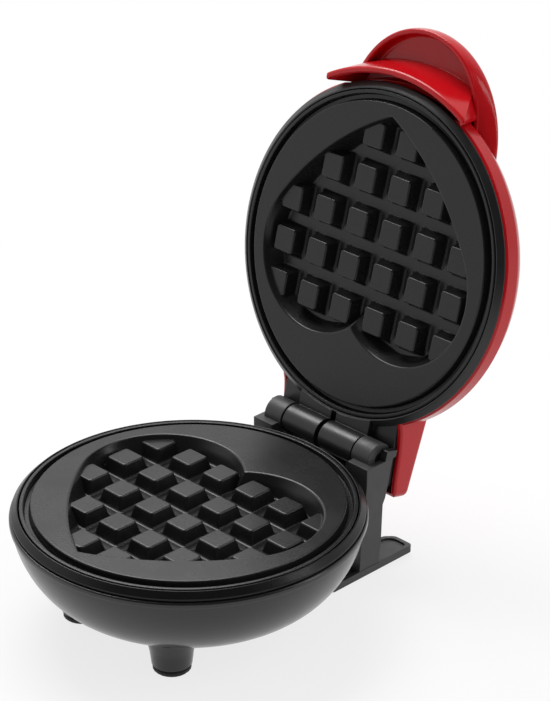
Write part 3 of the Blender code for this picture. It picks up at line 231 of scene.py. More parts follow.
# The bowl: a glossy dark grey plastic moulding with a rounded lip and a flat bottom. Its two
# short front legs are moulded on. Screws in its bottom hold the plate, and the stand is
# screwed to its back.
TURNS = 192
OVERRUN = 1.5
BOWL_LIP = (63.5, -1.9, -3.9)
LIP_ROUNDS = (0.8, 0.4)
COLLAR_SEAT = 61.6
COLLAR_SEAT_DEPTH = 4
BOWL_RADIUS = 62.9
BOWL_FLAT_RADIUS = 25.0
BOWL_DEPTH = 30.0
BOWL_ROUND = 3.04
BOWL_DROP = 1.47
BOWL_WALL = 2.0
BOWL_STEPS = 40
LEG_PLACE = (23.8, -30.8)
LEG_PROFILE = ((9.6, -29.0), (8.2, -33.4), (7.7, -36.0), (7.2, -40.4), (6.9, -40.7))
LEG_TURNS = 64
SCREW_CIRCLE = 29.0
SCREW_ANGLES = (-90, 30, 150)
SINK_RADIUS = 3.5
SINK_HEIGHTS = (-36, -29)
BOWL_GREY = (0.013, 0.013, 0.014)


def vertex_ring(builder, points):
    """New vertices at the points."""
    return [builder.verts.new(point) for point in points]


def turned(profile, steps=TURNS):
    """A profile of (radius, height), closed on itself or ending on the axis, spun round Z."""
    builder = bmesh.new()
    rings = []
    for radius, height in profile:
        if radius == 0:
            rings.append(vertex_ring(builder, [(0, 0, height)]))
            continue
        turn = [2 * math.pi * i / steps for i in range(steps)]
        circle = [(radius * math.cos(a), radius * math.sin(a), height) for a in turn]
        rings.append(vertex_ring(builder, circle))
    pairs = list(zip(rings, rings[1:]))
    if len(rings[0]) > 1 and len(rings[-1]) > 1:
        pairs.append((rings[-1], rings[0]))
    for first, second in pairs:
        if len(first) == len(second) == 1:
            continue
        for i in range(steps):
            if len(first) == 1:
                builder.faces.new((first[0], second[i], second[i - 1]))
            elif len(second) == 1:
                builder.faces.new((first[i - 1], first[i], second[0]))
            else:
                builder.faces.new((first[i - 1], first[i], second[i], second[i - 1]))
    bmesh.ops.recalc_face_normals(builder, faces=builder.faces)
    return builder


def filleted(points, closed=True, steps=4):
    """Rounds the corners of an outline. Each point is (x, y) or (x, y, fillet radius)."""
    rounded = []
    count = len(points)
    for i, point in enumerate(points):
        corner = Vector(point[:2])
        radius = point[2] if len(point) > 2 else 0
        if radius == 0 or (not closed and i in (0, count - 1)):
            rounded.append(tuple(corner))
            continue
        before = (Vector(points[i - 1][:2]) - corner).normalized()
        after = (Vector(points[(i + 1) % count][:2]) - corner).normalized()
        half = before.angle(after) / 2
        reach = radius / math.tan(half)
        centre = corner + (before + after).normalized() * (radius / math.sin(half))
        start = corner + before * reach - centre
        end = corner + after * reach - centre
        sweep = start.angle_signed(end)
        for k in range(steps + 1):
            turned_by = Matrix.Rotation(-sweep * k / steps, 2)
            rounded.append(tuple(centre + turned_by @ start))
    return rounded


def solid_object(name, builder, move=None):
    """A bmesh in millimetres as an object in metres, still in its own drawing's frame."""
    if move:
        builder.transform(move)
    mesh = bpy.data.meshes.new(name)
    builder.to_mesh(mesh)
    builder.free()
    mesh.transform(Matrix.Scale(MM, 4))
    item = bpy.data.objects.new(name, mesh)
    scene.collection.objects.link(item)
    return item


def carved(item, operation, *tools):
    """Joins, cuts or keeps what the tool solids cover, and removes the tools."""
    for tool in tools:
        boolean = item.modifiers.new("carve", "BOOLEAN")
        boolean.operation = operation
        boolean.solver = "EXACT"
        boolean.object = tool
    bpy.context.view_layer.update()
    graph = bpy.context.evaluated_depsgraph_get()
    mesh = bpy.data.meshes.new_from_object(item.evaluated_get(graph))
    item.modifiers.clear()
    item.data = mesh
    for tool in tools:
        bpy.data.objects.remove(tool)
    return item


def rod(radius, start, end, steps=48):
    """A round bar between two points."""
    start, end = Vector(start), Vector(end)
    along = end - start
    builder = bmesh.new()
    turn = Vector((0, 0, 1)).rotation_difference(along).to_matrix().to_4x4()
    bmesh.ops.create_cone(
        builder,
        cap_ends=True,
        segments=steps,
        radius1=radius,
        radius2=radius,
        depth=along.length,
        matrix=Matrix.Translation((start + end) / 2) @ turn,
    )
    return builder


def smoothed(item, material, crease=30):
    """Gives a piece its material and smooth shading, with sharp edges above an angle."""
    item.data.materials.clear()
    item.data.materials.append(material)
    item.data.polygons.foreach_set("use_smooth", [True] * len(item.data.polygons))
    item.data.set_sharp_from_angle(angle=math.radians(crease))
    item.modifiers.new("even_normals", "WEIGHTED_NORMAL").keep_sharp = True


def finished(item, material, seat, body, replaced, crease=30):
    """Moves a piece to its seat, smooths it and lets it ride on a body for its CAD nodes."""
    item.data.transform(seat)
    smoothed(item, material, crease)
    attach(item, body)
    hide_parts(*replaced)


def skin_group(name, **inputs):
    """A node group that puts out colour, roughness and height: its tree, input and output."""
    tree = bpy.data.node_groups.new(name, "ShaderNodeTree")
    for label, value in inputs.items():
        kind = "NodeSocketColor" if isinstance(value, tuple) else "NodeSocketFloat"
        label = label.replace("_", " ")
        socket = tree.interface.new_socket(name=label, in_out="INPUT", socket_type=kind)
        socket.default_value = value
    tree.interface.new_socket(name="Colour", in_out="OUTPUT", socket_type="NodeSocketColor")
    for label in ("Roughness", "Height"):
        tree.interface.new_socket(name=label, in_out="OUTPUT", socket_type="NodeSocketFloat")
    return tree, tree.nodes.new("NodeGroupInput"), tree.nodes.new("NodeGroupOutput")


def noise(tree, coordinates, scale, detail, roughness=0.5):
    """A noise texture's mask."""
    node = tree.nodes.new("ShaderNodeTexNoise")
    node.inputs["Scale"].default_value = scale
    node.inputs["Detail"].default_value = detail
    node.inputs["Roughness"].default_value = roughness
    tree.links.new(coordinates, node.inputs["Vector"])
    return node.outputs["Fac"]


def span(tree, value, low, high, from_low=0.0, from_high=1.0):
    """Maps a value from one range to another."""
    node = tree.nodes.new("ShaderNodeMapRange")
    node.inputs["From Min"].default_value = from_low
    node.inputs["From Max"].default_value = from_high
    for socket, bound in (("To Min", low), ("To Max", high)):
        if isinstance(bound, bpy.types.NodeSocket):
            tree.links.new(bound, node.inputs[socket])
        else:
            node.inputs[socket].default_value = bound
    tree.links.new(value, node.inputs["Value"])
    return node.outputs["Result"]


def make_moulded_skin():
    """What every moulded plastic shows: slow colour drift, uneven gloss and a fine skin."""
    tree, given, made = skin_group(
        "moulded_skin",
        Colour=(0.5, 0.5, 0.5, 1.0),
        Gloss_low=0.2,
        Gloss_high=0.3,
        Grain_size=1600.0,
        Drift=0.06,
    )
    place = tree.nodes.new("ShaderNodeTexCoord").outputs["Object"]
    slow = noise(tree, place, 28.0, 3.0)
    smear = noise(tree, place, 160.0, 4.0, 0.65)
    grain = tree.nodes.new("ShaderNodeTexNoise")
    grain.inputs["Detail"].default_value = 2.0
    tree.links.new(place, grain.inputs["Vector"])
    tree.links.new(given.outputs["Grain size"], grain.inputs["Scale"])
    swing = tree.nodes.new("ShaderNodeMath")
    swing.operation = "MULTIPLY"
    tree.links.new(span(tree, slow, -1.0, 1.0, 0.3, 0.7), swing.inputs[0])
    tree.links.new(given.outputs["Drift"], swing.inputs[1])
    level = tree.nodes.new("ShaderNodeMath")
    level.operation = "ADD"
    level.inputs[0].default_value = 1.0
    tree.links.new(swing.outputs["Value"], level.inputs[1])
    tint = tree.nodes.new("ShaderNodeHueSaturation")
    tree.links.new(given.outputs["Colour"], tint.inputs["Color"])
    tree.links.new(level.outputs["Value"], tint.inputs["Value"])
    tree.links.new(tint.outputs["Color"], made.inputs["Colour"])
    gloss = span(tree, smear, given.outputs["Gloss low"], given.outputs["Gloss high"], 0.3, 0.7)
    tree.links.new(gloss, made.inputs["Roughness"])
    tree.links.new(grain.outputs["Fac"], made.inputs["Height"])
    return tree


moulded_skin = make_moulded_skin()
EDGE_SOFTNESS = 0.4
EDGE_SAMPLES = 6


def surface(name, skin, settings, bump, bump_depth, **constants):
    """A material whose colour, gloss and bump come from a skin group with these settings."""
    material = bpy.data.materials.new(name)
    material.use_nodes = True
    tree = material.node_tree
    shader = tree.nodes["Principled BSDF"]
    group = tree.nodes.new("ShaderNodeGroup")
    group.node_tree = skin
    for label, value in settings.items():
        group.inputs[label].default_value = value
    tree.links.new(group.outputs["Colour"], shader.inputs["Base Color"])
    tree.links.new(group.outputs["Roughness"], shader.inputs["Roughness"])
    worn_edge = tree.nodes.new("ShaderNodeBevel")
    worn_edge.samples = EDGE_SAMPLES
    worn_edge.inputs["Radius"].default_value = EDGE_SOFTNESS * MM
    relief = tree.nodes.new("ShaderNodeBump")
    tree.links.new(worn_edge.outputs["Normal"], relief.inputs["Normal"])
    relief.inputs["Strength"].default_value = bump
    relief.inputs["Distance"].default_value = bump_depth * MM
    tree.links.new(group.outputs["Height"], relief.inputs["Height"])
    tree.links.new(relief.outputs["Normal"], shader.inputs["Normal"])
    for label, value in constants.items():
        shader.inputs[label.replace("_", " ")].default_value = value
    return material


def plastic(name, colour, gloss, grain=1600.0, bump=0.25, depth=0.02, drift=0.06, **constants):
    """A moulded plastic: a colour, a range of roughness and the fineness of its skin."""
    settings = {
        "Colour": (*colour, 1.0),
        "Gloss low": gloss[0],
        "Gloss high": gloss[1],
        "Grain size": grain,
        "Drift": drift,
    }
    return surface(name, moulded_skin, settings, bump, depth, **constants)


def bowl_curve(inset):
    """The bowl's outside, or a skin inside it, as (radius, height) from the lip down."""
    points = []
    for i in range(BOWL_STEPS + 1):
        angle = math.pi / 2 * i / BOWL_STEPS
        width = (BOWL_RADIUS - inset - BOWL_FLAT_RADIUS) * math.cos(angle) ** (2 / BOWL_ROUND)
        drop = (BOWL_DEPTH - inset) * math.sin(angle) ** (2 / BOWL_DROP)
        points.append((BOWL_FLAT_RADIUS + width, BOWL_LIP[2] - drop))
    points[-1] = (BOWL_FLAT_RADIUS, points[-1][1])
    return points


lip_radius, lip_top, lip_low = BOWL_LIP
lip = [(lip_radius, lip_top, LIP_ROUNDS[0]), (lip_radius, lip_low, LIP_ROUNDS[1])]
outside = filleted([(COLLAR_SEAT, lip_top), *lip, bowl_curve(0)[1]], closed=False)
seat_low = lip_low - COLLAR_SEAT_DEPTH
inside = [point for point in bowl_curve(BOWL_WALL) if point[1] < seat_low]
bowl_profile = outside[:-1] + bowl_curve(0)[1:] + [(0, lip_low - BOWL_DEPTH)]
bowl_profile = [(0, inside[-1][1]), *reversed(inside), (COLLAR_SEAT, seat_low), *bowl_profile]
bowl = solid_object("bowl", turned(bowl_profile))
legs = []
for side in (-1, 1):
    leg = turned([(0, LEG_PROFILE[0][1]), *LEG_PROFILE, (0, LEG_PROFILE[-1][1])], LEG_TURNS)
    bmesh.ops.translate(leg, verts=leg.verts, vec=(side * LEG_PLACE[0], LEG_PLACE[1], 0))
    legs.append(solid_object("leg", leg))
carved(bowl, "UNION", *legs)
sinks = []
for degrees in SCREW_ANGLES:
    angle = math.radians(degrees)
    x, y = SCREW_CIRCLE * math.cos(angle), SCREW_CIRCLE * math.sin(angle)
    low, high = [(x, y, z) for z in SINK_HEIGHTS]
    sinks.append(solid_object("sink", rod(SINK_RADIUS, low, high)))
carved(bowl, "DIFFERENCE", *sinks)
bowl_plastic = plastic("glossy_grey_bowl", BOWL_GREY, (0.16, 0.24), bump=0.12, depth=0.012)
BASE = Matrix.Translation(rim_centre)
finished(bowl, bowl_plastic, BASE, "base", ["base_bowl"], crease=28)

# The collar: a satin black ring that is dropped into the bowl's lip, holds the plate by its
# flange and slopes down round it to the bowl.
PLATE_RADIUS = 59.8
RIM_TOP = 1.5
COLLAR_BLACK = (0.006, 0.006, 0.0065)
collar_profile = filleted(
    [
        (60.3, -9.0),
        (60.3, RIM_TOP - 0.3, 0.2),
        (60.7, RIM_TOP, 0.3),
        (62.8, -0.6, 0.5),
        (62.6, -1.6, 0.2),
        (61.3, -1.6),
        (61.3, -9.0),
    ]
)
collar = solid_object("collar", turned(collar_profile))
collar_plastic = plastic(
    "satin_black_collar", COLLAR_BLACK, (0.24, 0.34), bump=0.2, Specular_IOR_Level=0.22
)
finished(collar, collar_plastic, BASE, "base", ["base_collar"])

# The cooking plates: cast aluminium with a charcoal non-stick coat, the same casting below
# and above. A heart is sunk into the raised middle, with a grid of leaning blocks in it,
# and an overflow channel runs round the edge.
HEART_LOBE = (20.0, 5.3)
HEART_LOBE_RADIUS = 29.8
HEART_SIDE_RADIUS = 111.5
HEART_TIP = -51.7
HEART_DRAFT = 0.47
HEART_STEPS = (24, 72)
RECESS_DEPTH = 7.2
BLOCK_HEIGHT = 5.3
BLOCK_WIDTH = 9.3
BLOCK_PITCH = 16.55
BLOCK_FIRST = 23.4
BLOCK_DRAFT = 0.26
BLOCK_CORNER = 0.9
BLOCK_TOP_SHARE = 0.7
BLOCK_COLUMNS = (-2.5, -1.5, -0.5, 0.5, 1.5, 2.5)
BLOCK_ROWS = (0, 1, 2, 3, 4)
LOBE_ROWS = 3
LOBE_REACH = 46
HAIR = 0.004
EDGE_ROUND = 0.9
FOOT_ROUND = 1.0
COAT_COLOUR = (0.0105, 0.0107, 0.0117, 1.0)
SPECKLE_COLOUR = (0.035, 0.035, 0.038, 1.0)


def heart(offset):
    """The heart's outline moved outwards: long side arcs that run smoothly into two lobes."""
    lobe = Vector(HEART_LOBE)
    reach = HEART_SIDE_RADIUS - HEART_LOBE_RADIUS
    to_tip = Vector((0, HEART_TIP)) - lobe
    along = (HEART_SIDE_RADIUS**2 - reach**2 - to_tip.length_squared) / (2 * reach)
    leave = math.atan2(to_tip.y, to_tip.x) + math.acos(along / to_tip.length)
    side = lobe - reach * Vector((math.cos(leave), math.sin(leave)))
    side_radius = HEART_SIDE_RADIUS + offset
    lobe_radius = HEART_LOBE_RADIUS + offset
    tip_angle = math.atan2(-math.sqrt(side_radius**2 - side.x**2), -side.x)
    notch_angle = math.atan2(math.sqrt(lobe_radius**2 - lobe.x**2), -lobe.x)
    half = []
    for centre, radius, start, end, steps in (
        (side, side_radius, tip_angle, leave, HEART_STEPS[0]),
        (lobe, lobe_radius, leave, notch_angle, HEART_STEPS[1]),
    ):
        for i in range(steps):
            angle = start + (end - start) * i / steps
            half.append((centre.x + radius * math.cos(angle), centre.y + radius * math.sin(angle)))
    half[0] = (0, half[0][1])
    half.append((0, lobe.y + lobe_radius * math.sin(notch_angle)))
    return half + [(-x, y) for x, y in half[-2:0:-1]]


def leaning_edge(depth, draft, top_round, foot_round):
    """A drafted wall from the top down as (outward offset, depth), rounded at both ends."""
    run = draft * depth
    wall = [(-depth, 0), (0, 0, top_round), (run, depth, foot_round), (run + depth, depth)]
    return filleted(wall, closed=False)[1:-1]


def lofted(sections):
    """A solid through rings of equally many points."""
    builder = bmesh.new()
    rings = [vertex_ring(builder, section) for section in sections]
    for first, second in zip(rings, rings[1:]):
        for i in range(len(first)):
            builder.faces.new((first[i - 1], first[i], second[i], second[i - 1]))
    builder.faces.new(rings[0])
    builder.faces.new(rings[-1])
    bmesh.ops.recalc_face_normals(builder, faces=builder.faces)
    return builder


def rounded_square(half, height, centre):
    """A block's outline at a height."""
    corners = [(half, half), (-half, half), (-half, -half), (half, -half)]
    outline = filleted([(x, y, BLOCK_CORNER) for x, y in corners])
    return [(centre[0] + x, centre[1] + y, height) for x, y in outline]


def far_from_lobes(centre, row):
    """Whether a block of the upper rows lies wholly outside the heart."""
    away = math.hypot(abs(centre[0]) - HEART_LOBE[0], centre[1] - HEART_LOBE[1])
    return row < LOBE_ROWS and away > LOBE_REACH


def cooking_plate(name, seat, body, replaced):
    """One plate: the turned casting, with the heart cut in round the blocks."""
    profile = filleted(
        [
            (0, PLATEAU),
            (55.8, PLATEAU, 0.5),
            (56.2, -1.2, 0.5),
            (58.1, -1.2, 0.4),
            (58.4, RIM_TOP, 0.35),
            (PLATE_RADIUS, RIM_TOP, 0.35),
            (PLATE_RADIUS, -4.0, 0.2),
            (51.5, -4.0),
            (51.1, -7.1, 0.4),
            (0, -7.1),
        ],
        closed=False,
    )
    plate = solid_object(name, turned(profile))
    wall = leaning_edge(RECESS_DEPTH, HEART_DRAFT, EDGE_ROUND, FOOT_ROUND)
    # The wall's offset is counted inwards here, so the rounded top edge lies outside the heart.
    sections = [[(x, y, PLATEAU + OVERRUN) for x, y in heart(-wall[0][0])]]
    for inward, depth in wall:
        sections.append([(x, y, PLATEAU - depth - HAIR) for x, y in heart(-inward)])
    recess = solid_object(name + "_recess", lofted(sections))
    blocks = []
    side = leaning_edge(BLOCK_HEIGHT, BLOCK_DRAFT, EDGE_ROUND * BLOCK_TOP_SHARE, FOOT_ROUND)
    block_top = PLATEAU - RECESS_DEPTH + BLOCK_HEIGHT
    for column in BLOCK_COLUMNS:
        for row in BLOCK_ROWS:
            centre = (column * BLOCK_PITCH, BLOCK_FIRST - row * BLOCK_PITCH)
            if far_from_lobes(centre, row):
                continue
            rings = []
            for outward, depth in side:
                rings.append(rounded_square(BLOCK_WIDTH / 2 + outward, block_top - depth, centre))
            rings.append([(x, y, z - OVERRUN) for x, y, z in rings[-1]])
            blocks.append(solid_object("block", lofted(rings)))
    carved(recess, "DIFFERENCE", *blocks)
    carved(plate, "DIFFERENCE", recess)
    finished(plate, coated, seat, body, replaced, crease=32)


def make_coat_skin():
    """A sprayed non-stick coat: fine speckle, faint clouding and a slightly uneven sheen."""
    tree, given, made = skin_group(
        "sprayed_coat",
        Colour=COAT_COLOUR,
        Speckle=SPECKLE_COLOUR,
        Gloss_low=0.24,
        Gloss_high=0.31,
    )
    place = tree.nodes.new("ShaderNodeTexCoord").outputs["Object"]
    fine = noise(tree, place, 2600.0, 3.0, 0.6)
    cloud = noise(tree, place, 45.0, 4.0, 0.6)
    mix = tree.nodes.new("ShaderNodeMix")
    mix.data_type = "RGBA"
    tree.links.new(span(tree, fine, 0.0, 0.5, 0.58, 0.75), mix.inputs["Factor"])
    tree.links.new(given.outputs["Colour"], mix.inputs[6])
    tree.links.new(given.outputs["Speckle"], mix.inputs[7])
    tint = tree.nodes.new("ShaderNodeHueSaturation")
    tree.links.new(mix.outputs[2], tint.inputs["Color"])
    tree.links.new(span(tree, cloud, 0.92, 1.08, 0.3, 0.7), tint.inputs["Value"])
    tree.links.new(tint.outputs["Color"], made.inputs["Colour"])
    gloss = span(tree, cloud, given.outputs["Gloss low"], given.outputs["Gloss high"], 0.3, 0.7)
    tree.links.new(gloss, made.inputs["Roughness"])
    tree.links.new(fine, made.inputs["Height"])
    return tree


coated = surface(
    "charcoal_nonstick_coat",
    make_coat_skin(),
    settings={},
    bump=0.30,
    bump_depth=0.03,
    Specular_IOR_Level=0.34,
)

# The lid's place: it turns about the hinge pins and stands open. Its pieces are drawn shut,
# the upper plate turned over above the lower one, and are tipped back from there.
joint = frame["joints"][0]
hinge = Vector(joint["pos_m"])
open_angle = math.radians(joint["range_deg"][1])
tilt = Matrix.Rotation(-open_angle, 4, "X")
LID = Matrix.Translation(hinge) @ tilt @ Matrix.Translation(rim_centre - hinge)
CLOSED_SPACE = 5.3
UPPER = LID @ Matrix.Translation((0, 0, CLOSED_SPACE * MM)) @ Matrix.Rotation(math.pi, 4, "Y")
cooking_plate("lower_cooking_plate", BASE, "base", ["lower_plate"])
cooking_plate("upper_cooking_plate", UPPER, "lid", ["upper_plate"])

# The stand: one satin black moulding behind the bowl, with two posts that end in the hinge
# ears, a web that the bowl is screwed to, and two foot tabs that reach back past the lid.
# The tabs have a raised border, and pads are let into their undersides.
HINGE_Y = 69.5
HINGE_Z = 1.8
HINGE_TURNS = 72
FLOOR = -43.2
GAP = 0.3
EAR_RADIUS = 6.0
EARS = (18.3, 26.7)
POSTS = (19.5, 29.3)
POST_OUTLINE = (
    (60.5, 1.5),
    (60.5, -6.0, 30),
    (58.0, -30.0, 20),
    (57.5, -41.0),
    (67.7, -41.0),
    (68.7, -31.0, 20),
    (69.2, -16.0, 3),
    (70.5, -13.5, 3),
    (73.6, -1.0, 2),
    (74.2, 1.5),
)
TAB_OUTLINE = (
    (29.5, 41.5, 0.8),
    (29.5, 86.0, 1.5),
    (20.7, 86.0, 3),
    (17.8, 83.0, 3),
    (14.0, 67.5, 1.5),
)
TAB_LOW = -42.7
TAB_HIGH = -39.9
TAB_BORDER = 1.6
TAB_SUNK = 0.7
WEB = ((-19.8, 50.0, -33.9), (19.8, 66.5, -6.0))
PIN_BORE = 2.3
SCREW_BORE = 1.9
STAND_SCREWS = (14.0, -24.4)
STAND_SCREW_SPAN = (45, 62.3)
CORD_BORE = (-22.0, 4.9)
CORD_BORE_SPAN = (48, 68)
PAD_SEAT = (23.5, 76.0, 4.8)
PAD_SEAT_HEIGHT = 1.6
STAND_BLACK = (0.034, 0.0345, 0.036)


def prism(outline, low, high, sideways=False):
    """An outline with thickness: upwards from (x, y), or sideways from (y, z)."""
    rings = []
    for level in (low, high):
        if sideways:
            rings.append([(level, y, z) for y, z in outline])
        else:
            rings.append([(x, y, level) for x, y in outline])
    return lofted(rings)


def block(low, high):
    """A box between two opposite corners."""
    (x0, y0, z0), (x1, y1, z1) = low, high
    return prism([(x0, y0), (x1, y0), (x1, y1), (x0, y1)], z0, z1)


def hinge_rod(radius, near, far, side):
    """A round bar on the hinge's axis, on the left (-1) or the right (1)."""
    start, end = (side * near, HINGE_Y, HINGE_Z), (side * far, HINGE_Y, HINGE_Z)
    return rod(radius, start, end, HINGE_TURNS)


def shrunk(outline, inset):
    """An outline drawn in by a distance, whichever way round its points run."""
    points = [Vector(point[:2]) for point in outline]
    area = sum(a.cross(b) for a, b in zip(points, points[1:] + points[:1]))
    turn = 1 if area > 0 else -1
    inner = []
    for i, point in enumerate(points):
        before = (point - points[i - 1]).normalized()
        after = (points[(i + 1) % len(points)] - point).normalized()
        left = Vector((-before.y, before.x)) * turn
        right_of_next = Vector((-after.y, after.x)) * turn
        middle = (left + right_of_next).normalized()
        inner.append((*(point + middle * inset / middle.dot(left)), *outline[i][2:]))
    return inner


stand = solid_object("stand", block(*WEB))
for side in (-1, 1):
    near, far = sorted((side * POSTS[0], side * POSTS[1]))
    post = solid_object("post", prism(filleted(POST_OUTLINE, steps=6), near, far, sideways=True))
    ear = solid_object("ear", hinge_rod(EAR_RADIUS, *EARS, side))
    tab = [(side * x, *rest) for x, *rest in TAB_OUTLINE]
    foot = solid_object("tab", prism(filleted(tab), TAB_LOW, TAB_HIGH))
    sunk = filleted(shrunk(tab, TAB_BORDER))
    hollow = solid_object("tab_hollow", prism(sunk, TAB_HIGH - TAB_SUNK, TAB_HIGH + OVERRUN))
    carved(foot, "DIFFERENCE", hollow)
    carved(stand, "UNION", post, ear, foot)
saddle_top, saddle_radius = HINGE_Z + EAR_RADIUS, lip_radius + GAP
saddle = [(0, saddle_top), (saddle_radius, saddle_top), (saddle_radius, lip_low)]
saddle += bowl_curve(-GAP)[1:] + [(0, lip_low - BOWL_DEPTH - GAP)]
cuts = [solid_object("saddle", turned(saddle))]
for side in (-1, 1):
    cuts.append(solid_object("bore", hinge_rod(PIN_BORE, EARS[0] - OVERRUN, EARS[1] + GAP, side)))
    x, z = side * STAND_SCREWS[0], STAND_SCREWS[1]
    start, end = [(x, y, z) for y in STAND_SCREW_SPAN]
    cuts.append(solid_object("bore", rod(SCREW_BORE, start, end)))
    x, y, radius = side * PAD_SEAT[0], *PAD_SEAT[1:]
    start, end = (x, y, FLOOR - OVERRUN), (x, y, FLOOR + PAD_SEAT_HEIGHT)
    cuts.append(solid_object("pad_seat", rod(radius, start, end)))
start, end = [(0, y, CORD_BORE[0]) for y in CORD_BORE_SPAN]
cuts.append(solid_object("cord_bore", rod(CORD_BORE[1], start, end)))
carved(stand, "DIFFERENCE", *cuts)
stand_plastic = plastic(
    "satin_black_stand", STAND_BLACK, (0.42, 0.54), grain=2200.0, bump=0.35, depth=0.02
)
finished(stand, stand_plastic, BASE, "base", ["hinge_stand"])


# The feet: black rubber discs under the two front legs, and thin rubber pads that are let into
# the undersides of the foot tabs.
RUBBER_BLACK = (0.014, 0.014, 0.014)


def dress(names, material):
    """Keeps CAD nodes as they are, with a finish and smooth shading."""
    for name in names:
        smoothed(nodes[name], material)


rubber = plastic("black_rubber", RUBBER_BLACK, (0.62, 0.78), grain=2400.0, bump=0.6, depth=0.04)
dress(["front_foot_left", "front_foot_right", "rear_pad_left", "rear_pad_right"], rubber)

# The lid frame: a satin black moulding that clamps the upper plate, with the neck that
# carries the two hinge knuckles and the cheeks that stop the lid on the stand.
RING_RADIUS = 60.1
KNUCKLE_RADIUS = 5.8
KNUCKLES = (1.0, 17.9)
NECK_HALF = ((28.3, 50.0), (28.3, 83.0, 4.0))
NECK_HEIGHTS = (6.6, 9.3)
NECK_ROOM = (60.7, 12.6)
ARM_START = 50.0
ARM_HEIGHTS = (3.6, 7.95)
EAR_ROOM = 6.4
CHEEKS = (27.2, 29.8)
CHEEK_OUTLINE = ((65.5, 1.9, 0.5), (69.47, 1.9), (68.09, 7.3), (65.5, 7.3))
HEEL_SCREWS = ((-12.0, 77.5), (12.0, 77.5))
HEEL_SCREW_SPAN = (5.0, 11.0)
FRAME_BLACK = (0.012, 0.012, 0.013)
ring_profile = filleted(
    [
        (RING_RADIUS, RIM_TOP - 0.3, 0.2),
        (60.6, RIM_TOP, 0.3),
        (62.9, -0.2, 0.4),
        (62.9, -0.7, 0.2),
        (61.4, -0.7),
        (61.4, -6.6, 0.3),
        (55.5, -6.6),
        (55.5, -4.3),
        (RING_RADIUS, -4.3),
    ]
)
TURN_OVER = Matrix.Translation((0, 0, CLOSED_SPACE)) @ Matrix.Rotation(math.pi, 4, "Y")
lid_frame = solid_object("lid_ring_and_neck", turned(ring_profile), TURN_OVER)
neck_outline = [*NECK_HALF, *((-x, *rest) for x, *rest in reversed(NECK_HALF))]
neck = solid_object("neck", prism(filleted(neck_outline, steps=8), *NECK_HEIGHTS))
for side in (-1, 1):
    near, far = sorted((side * (KNUCKLES[0] + GAP), side * (KNUCKLES[1] - GAP)))
    arm_low, arm_high = (near, ARM_START, ARM_HEIGHTS[0]), (far, HINGE_Y, ARM_HEIGHTS[1])
    arm = solid_object("arm", block(arm_low, arm_high))
    knuckle = solid_object("knuckle", hinge_rod(KNUCKLE_RADIUS, *KNUCKLES, side))
    carved(neck, "UNION", arm, knuckle)
    room = hinge_rod(EAR_ROOM, KNUCKLES[1] - GAP, CHEEKS[0] + GAP, side)
    carved(neck, "DIFFERENCE", solid_object("room", room))
    near, far = sorted((side * CHEEKS[0], side * CHEEKS[1]))
    cheek = solid_object("cheek", prism(filleted(CHEEK_OUTLINE), near, far, sideways=True))
    carved(neck, "UNION", cheek)
room = rod(NECK_ROOM[0], (0, 0, 0), (0, 0, NECK_ROOM[1]), TURNS)
carved(neck, "DIFFERENCE", solid_object("room", room))
carved(lid_frame, "UNION", neck)
cuts = []
for side in (-1, 1):
    cuts.append(solid_object("bore", hinge_rod(PIN_BORE, 0, KNUCKLES[1] + OVERRUN, side)))
for x, y in HEEL_SCREWS:
    start, end = [(x, y, z) for z in HEEL_SCREW_SPAN]
    cuts.append(solid_object("bore", rod(SCREW_BORE, start, end)))
carved(lid_frame, "DIFFERENCE", *cuts)
frame_plastic = plastic("satin_black_lid_frame", FRAME_BLACK, (0.28, 0.40), grain=2000.0, bump=0.3)
finished(lid_frame, frame_plastic, LID, "lid", ["lid_frame"])

# The lid shell: the glossy red moulding over the lid. A low dome with a skirt outside the lid's
# ring, a heel over the hinge, a visor in front of the ring, and a hollow half-moon handle that
# is open towards the plates. Two screws hold its heel to the lid frame.
DOME_RADIUS = 62.5
DOME_LOW = 12.6
DOME_TOP = 27.0
DOME_ROUND = 6.0
DOME_RISE = 1.5
DOME_STEPS = 30
DOME_END = 0.9
SHELL_WALL = 2.0
SKIRT = ((62.5, 13.2, 0.5), (63.5, 12.3, 0.6), (63.5, 6.7, 0.4), (62.6, 6.1, 0.2))
SKIRT_INSIDE = 61.8
SKIRT_EDGE = 0.5
HANDLE_SECTIONS = (
    (14.0, 30.5, 31.4, -51.7),
    (20.0, 36.5, 39.3, -43.5),
    (22.5, 33.5, 35.35, -42.45),
    (24.5, 27.0, 28.5, -40.0),
    (25.8, 18.0, 20.0, -35.0),
)
HANDLE_TURN = 144
HANDLE_WALL = 2.0
HANDLE_STEPS = 8
RIM_ROUND = 0.7
RIM_STEPS = 4
POCKET_TOP = 18.5
POCKET_ROUND = 1.5
VISOR = ((68.0, 2.0), (70.8, 19.0))
VISOR_WALL = 2.6
VISOR_HOLLOW = 10.5
VISOR_SIDE = (35.0, -57.0, 0.64, 0.38)
VISOR_FRONT = -90.0
VISOR_CORNER = 2.8
VISOR_END = 1.6
VISOR_DEEP = (63.2, 15.8)
VISOR_LOW_CORNER = (0.6, 0.3)
LEAST_ROUND = 0.3
HEEL_HALF = 30.4
HEEL_LOW_LINE = (
    (45.0, 4.2),
    (53.8, 4.7, 5),
    (58.7, 6.8, 5),
    (63.5, 7.9, 8),
    (68.2, 8.6),
    (77.7, 9.4, 10),
    (84.0, 10.3, 1),
)
HEEL_TOP_LINE = ((45.0, 22.5), (85.3, 18.6))
HEEL_REAR = 85.3
HEEL_END_ROUND = 2.8
HEEL_TOP_ROUND = 2.4
HEEL_LOW_ROUND = 1.2
HEEL_STEPS = 24
HEEL_END_STEPS = 6
HEEL_ROOM = ((43.5, 0), (83.5, 0), (83.5, 14.7, 1.0), (80.7, 17.1, 1.5), (43.5, 20.7))
HEEL_WALL = 1.8
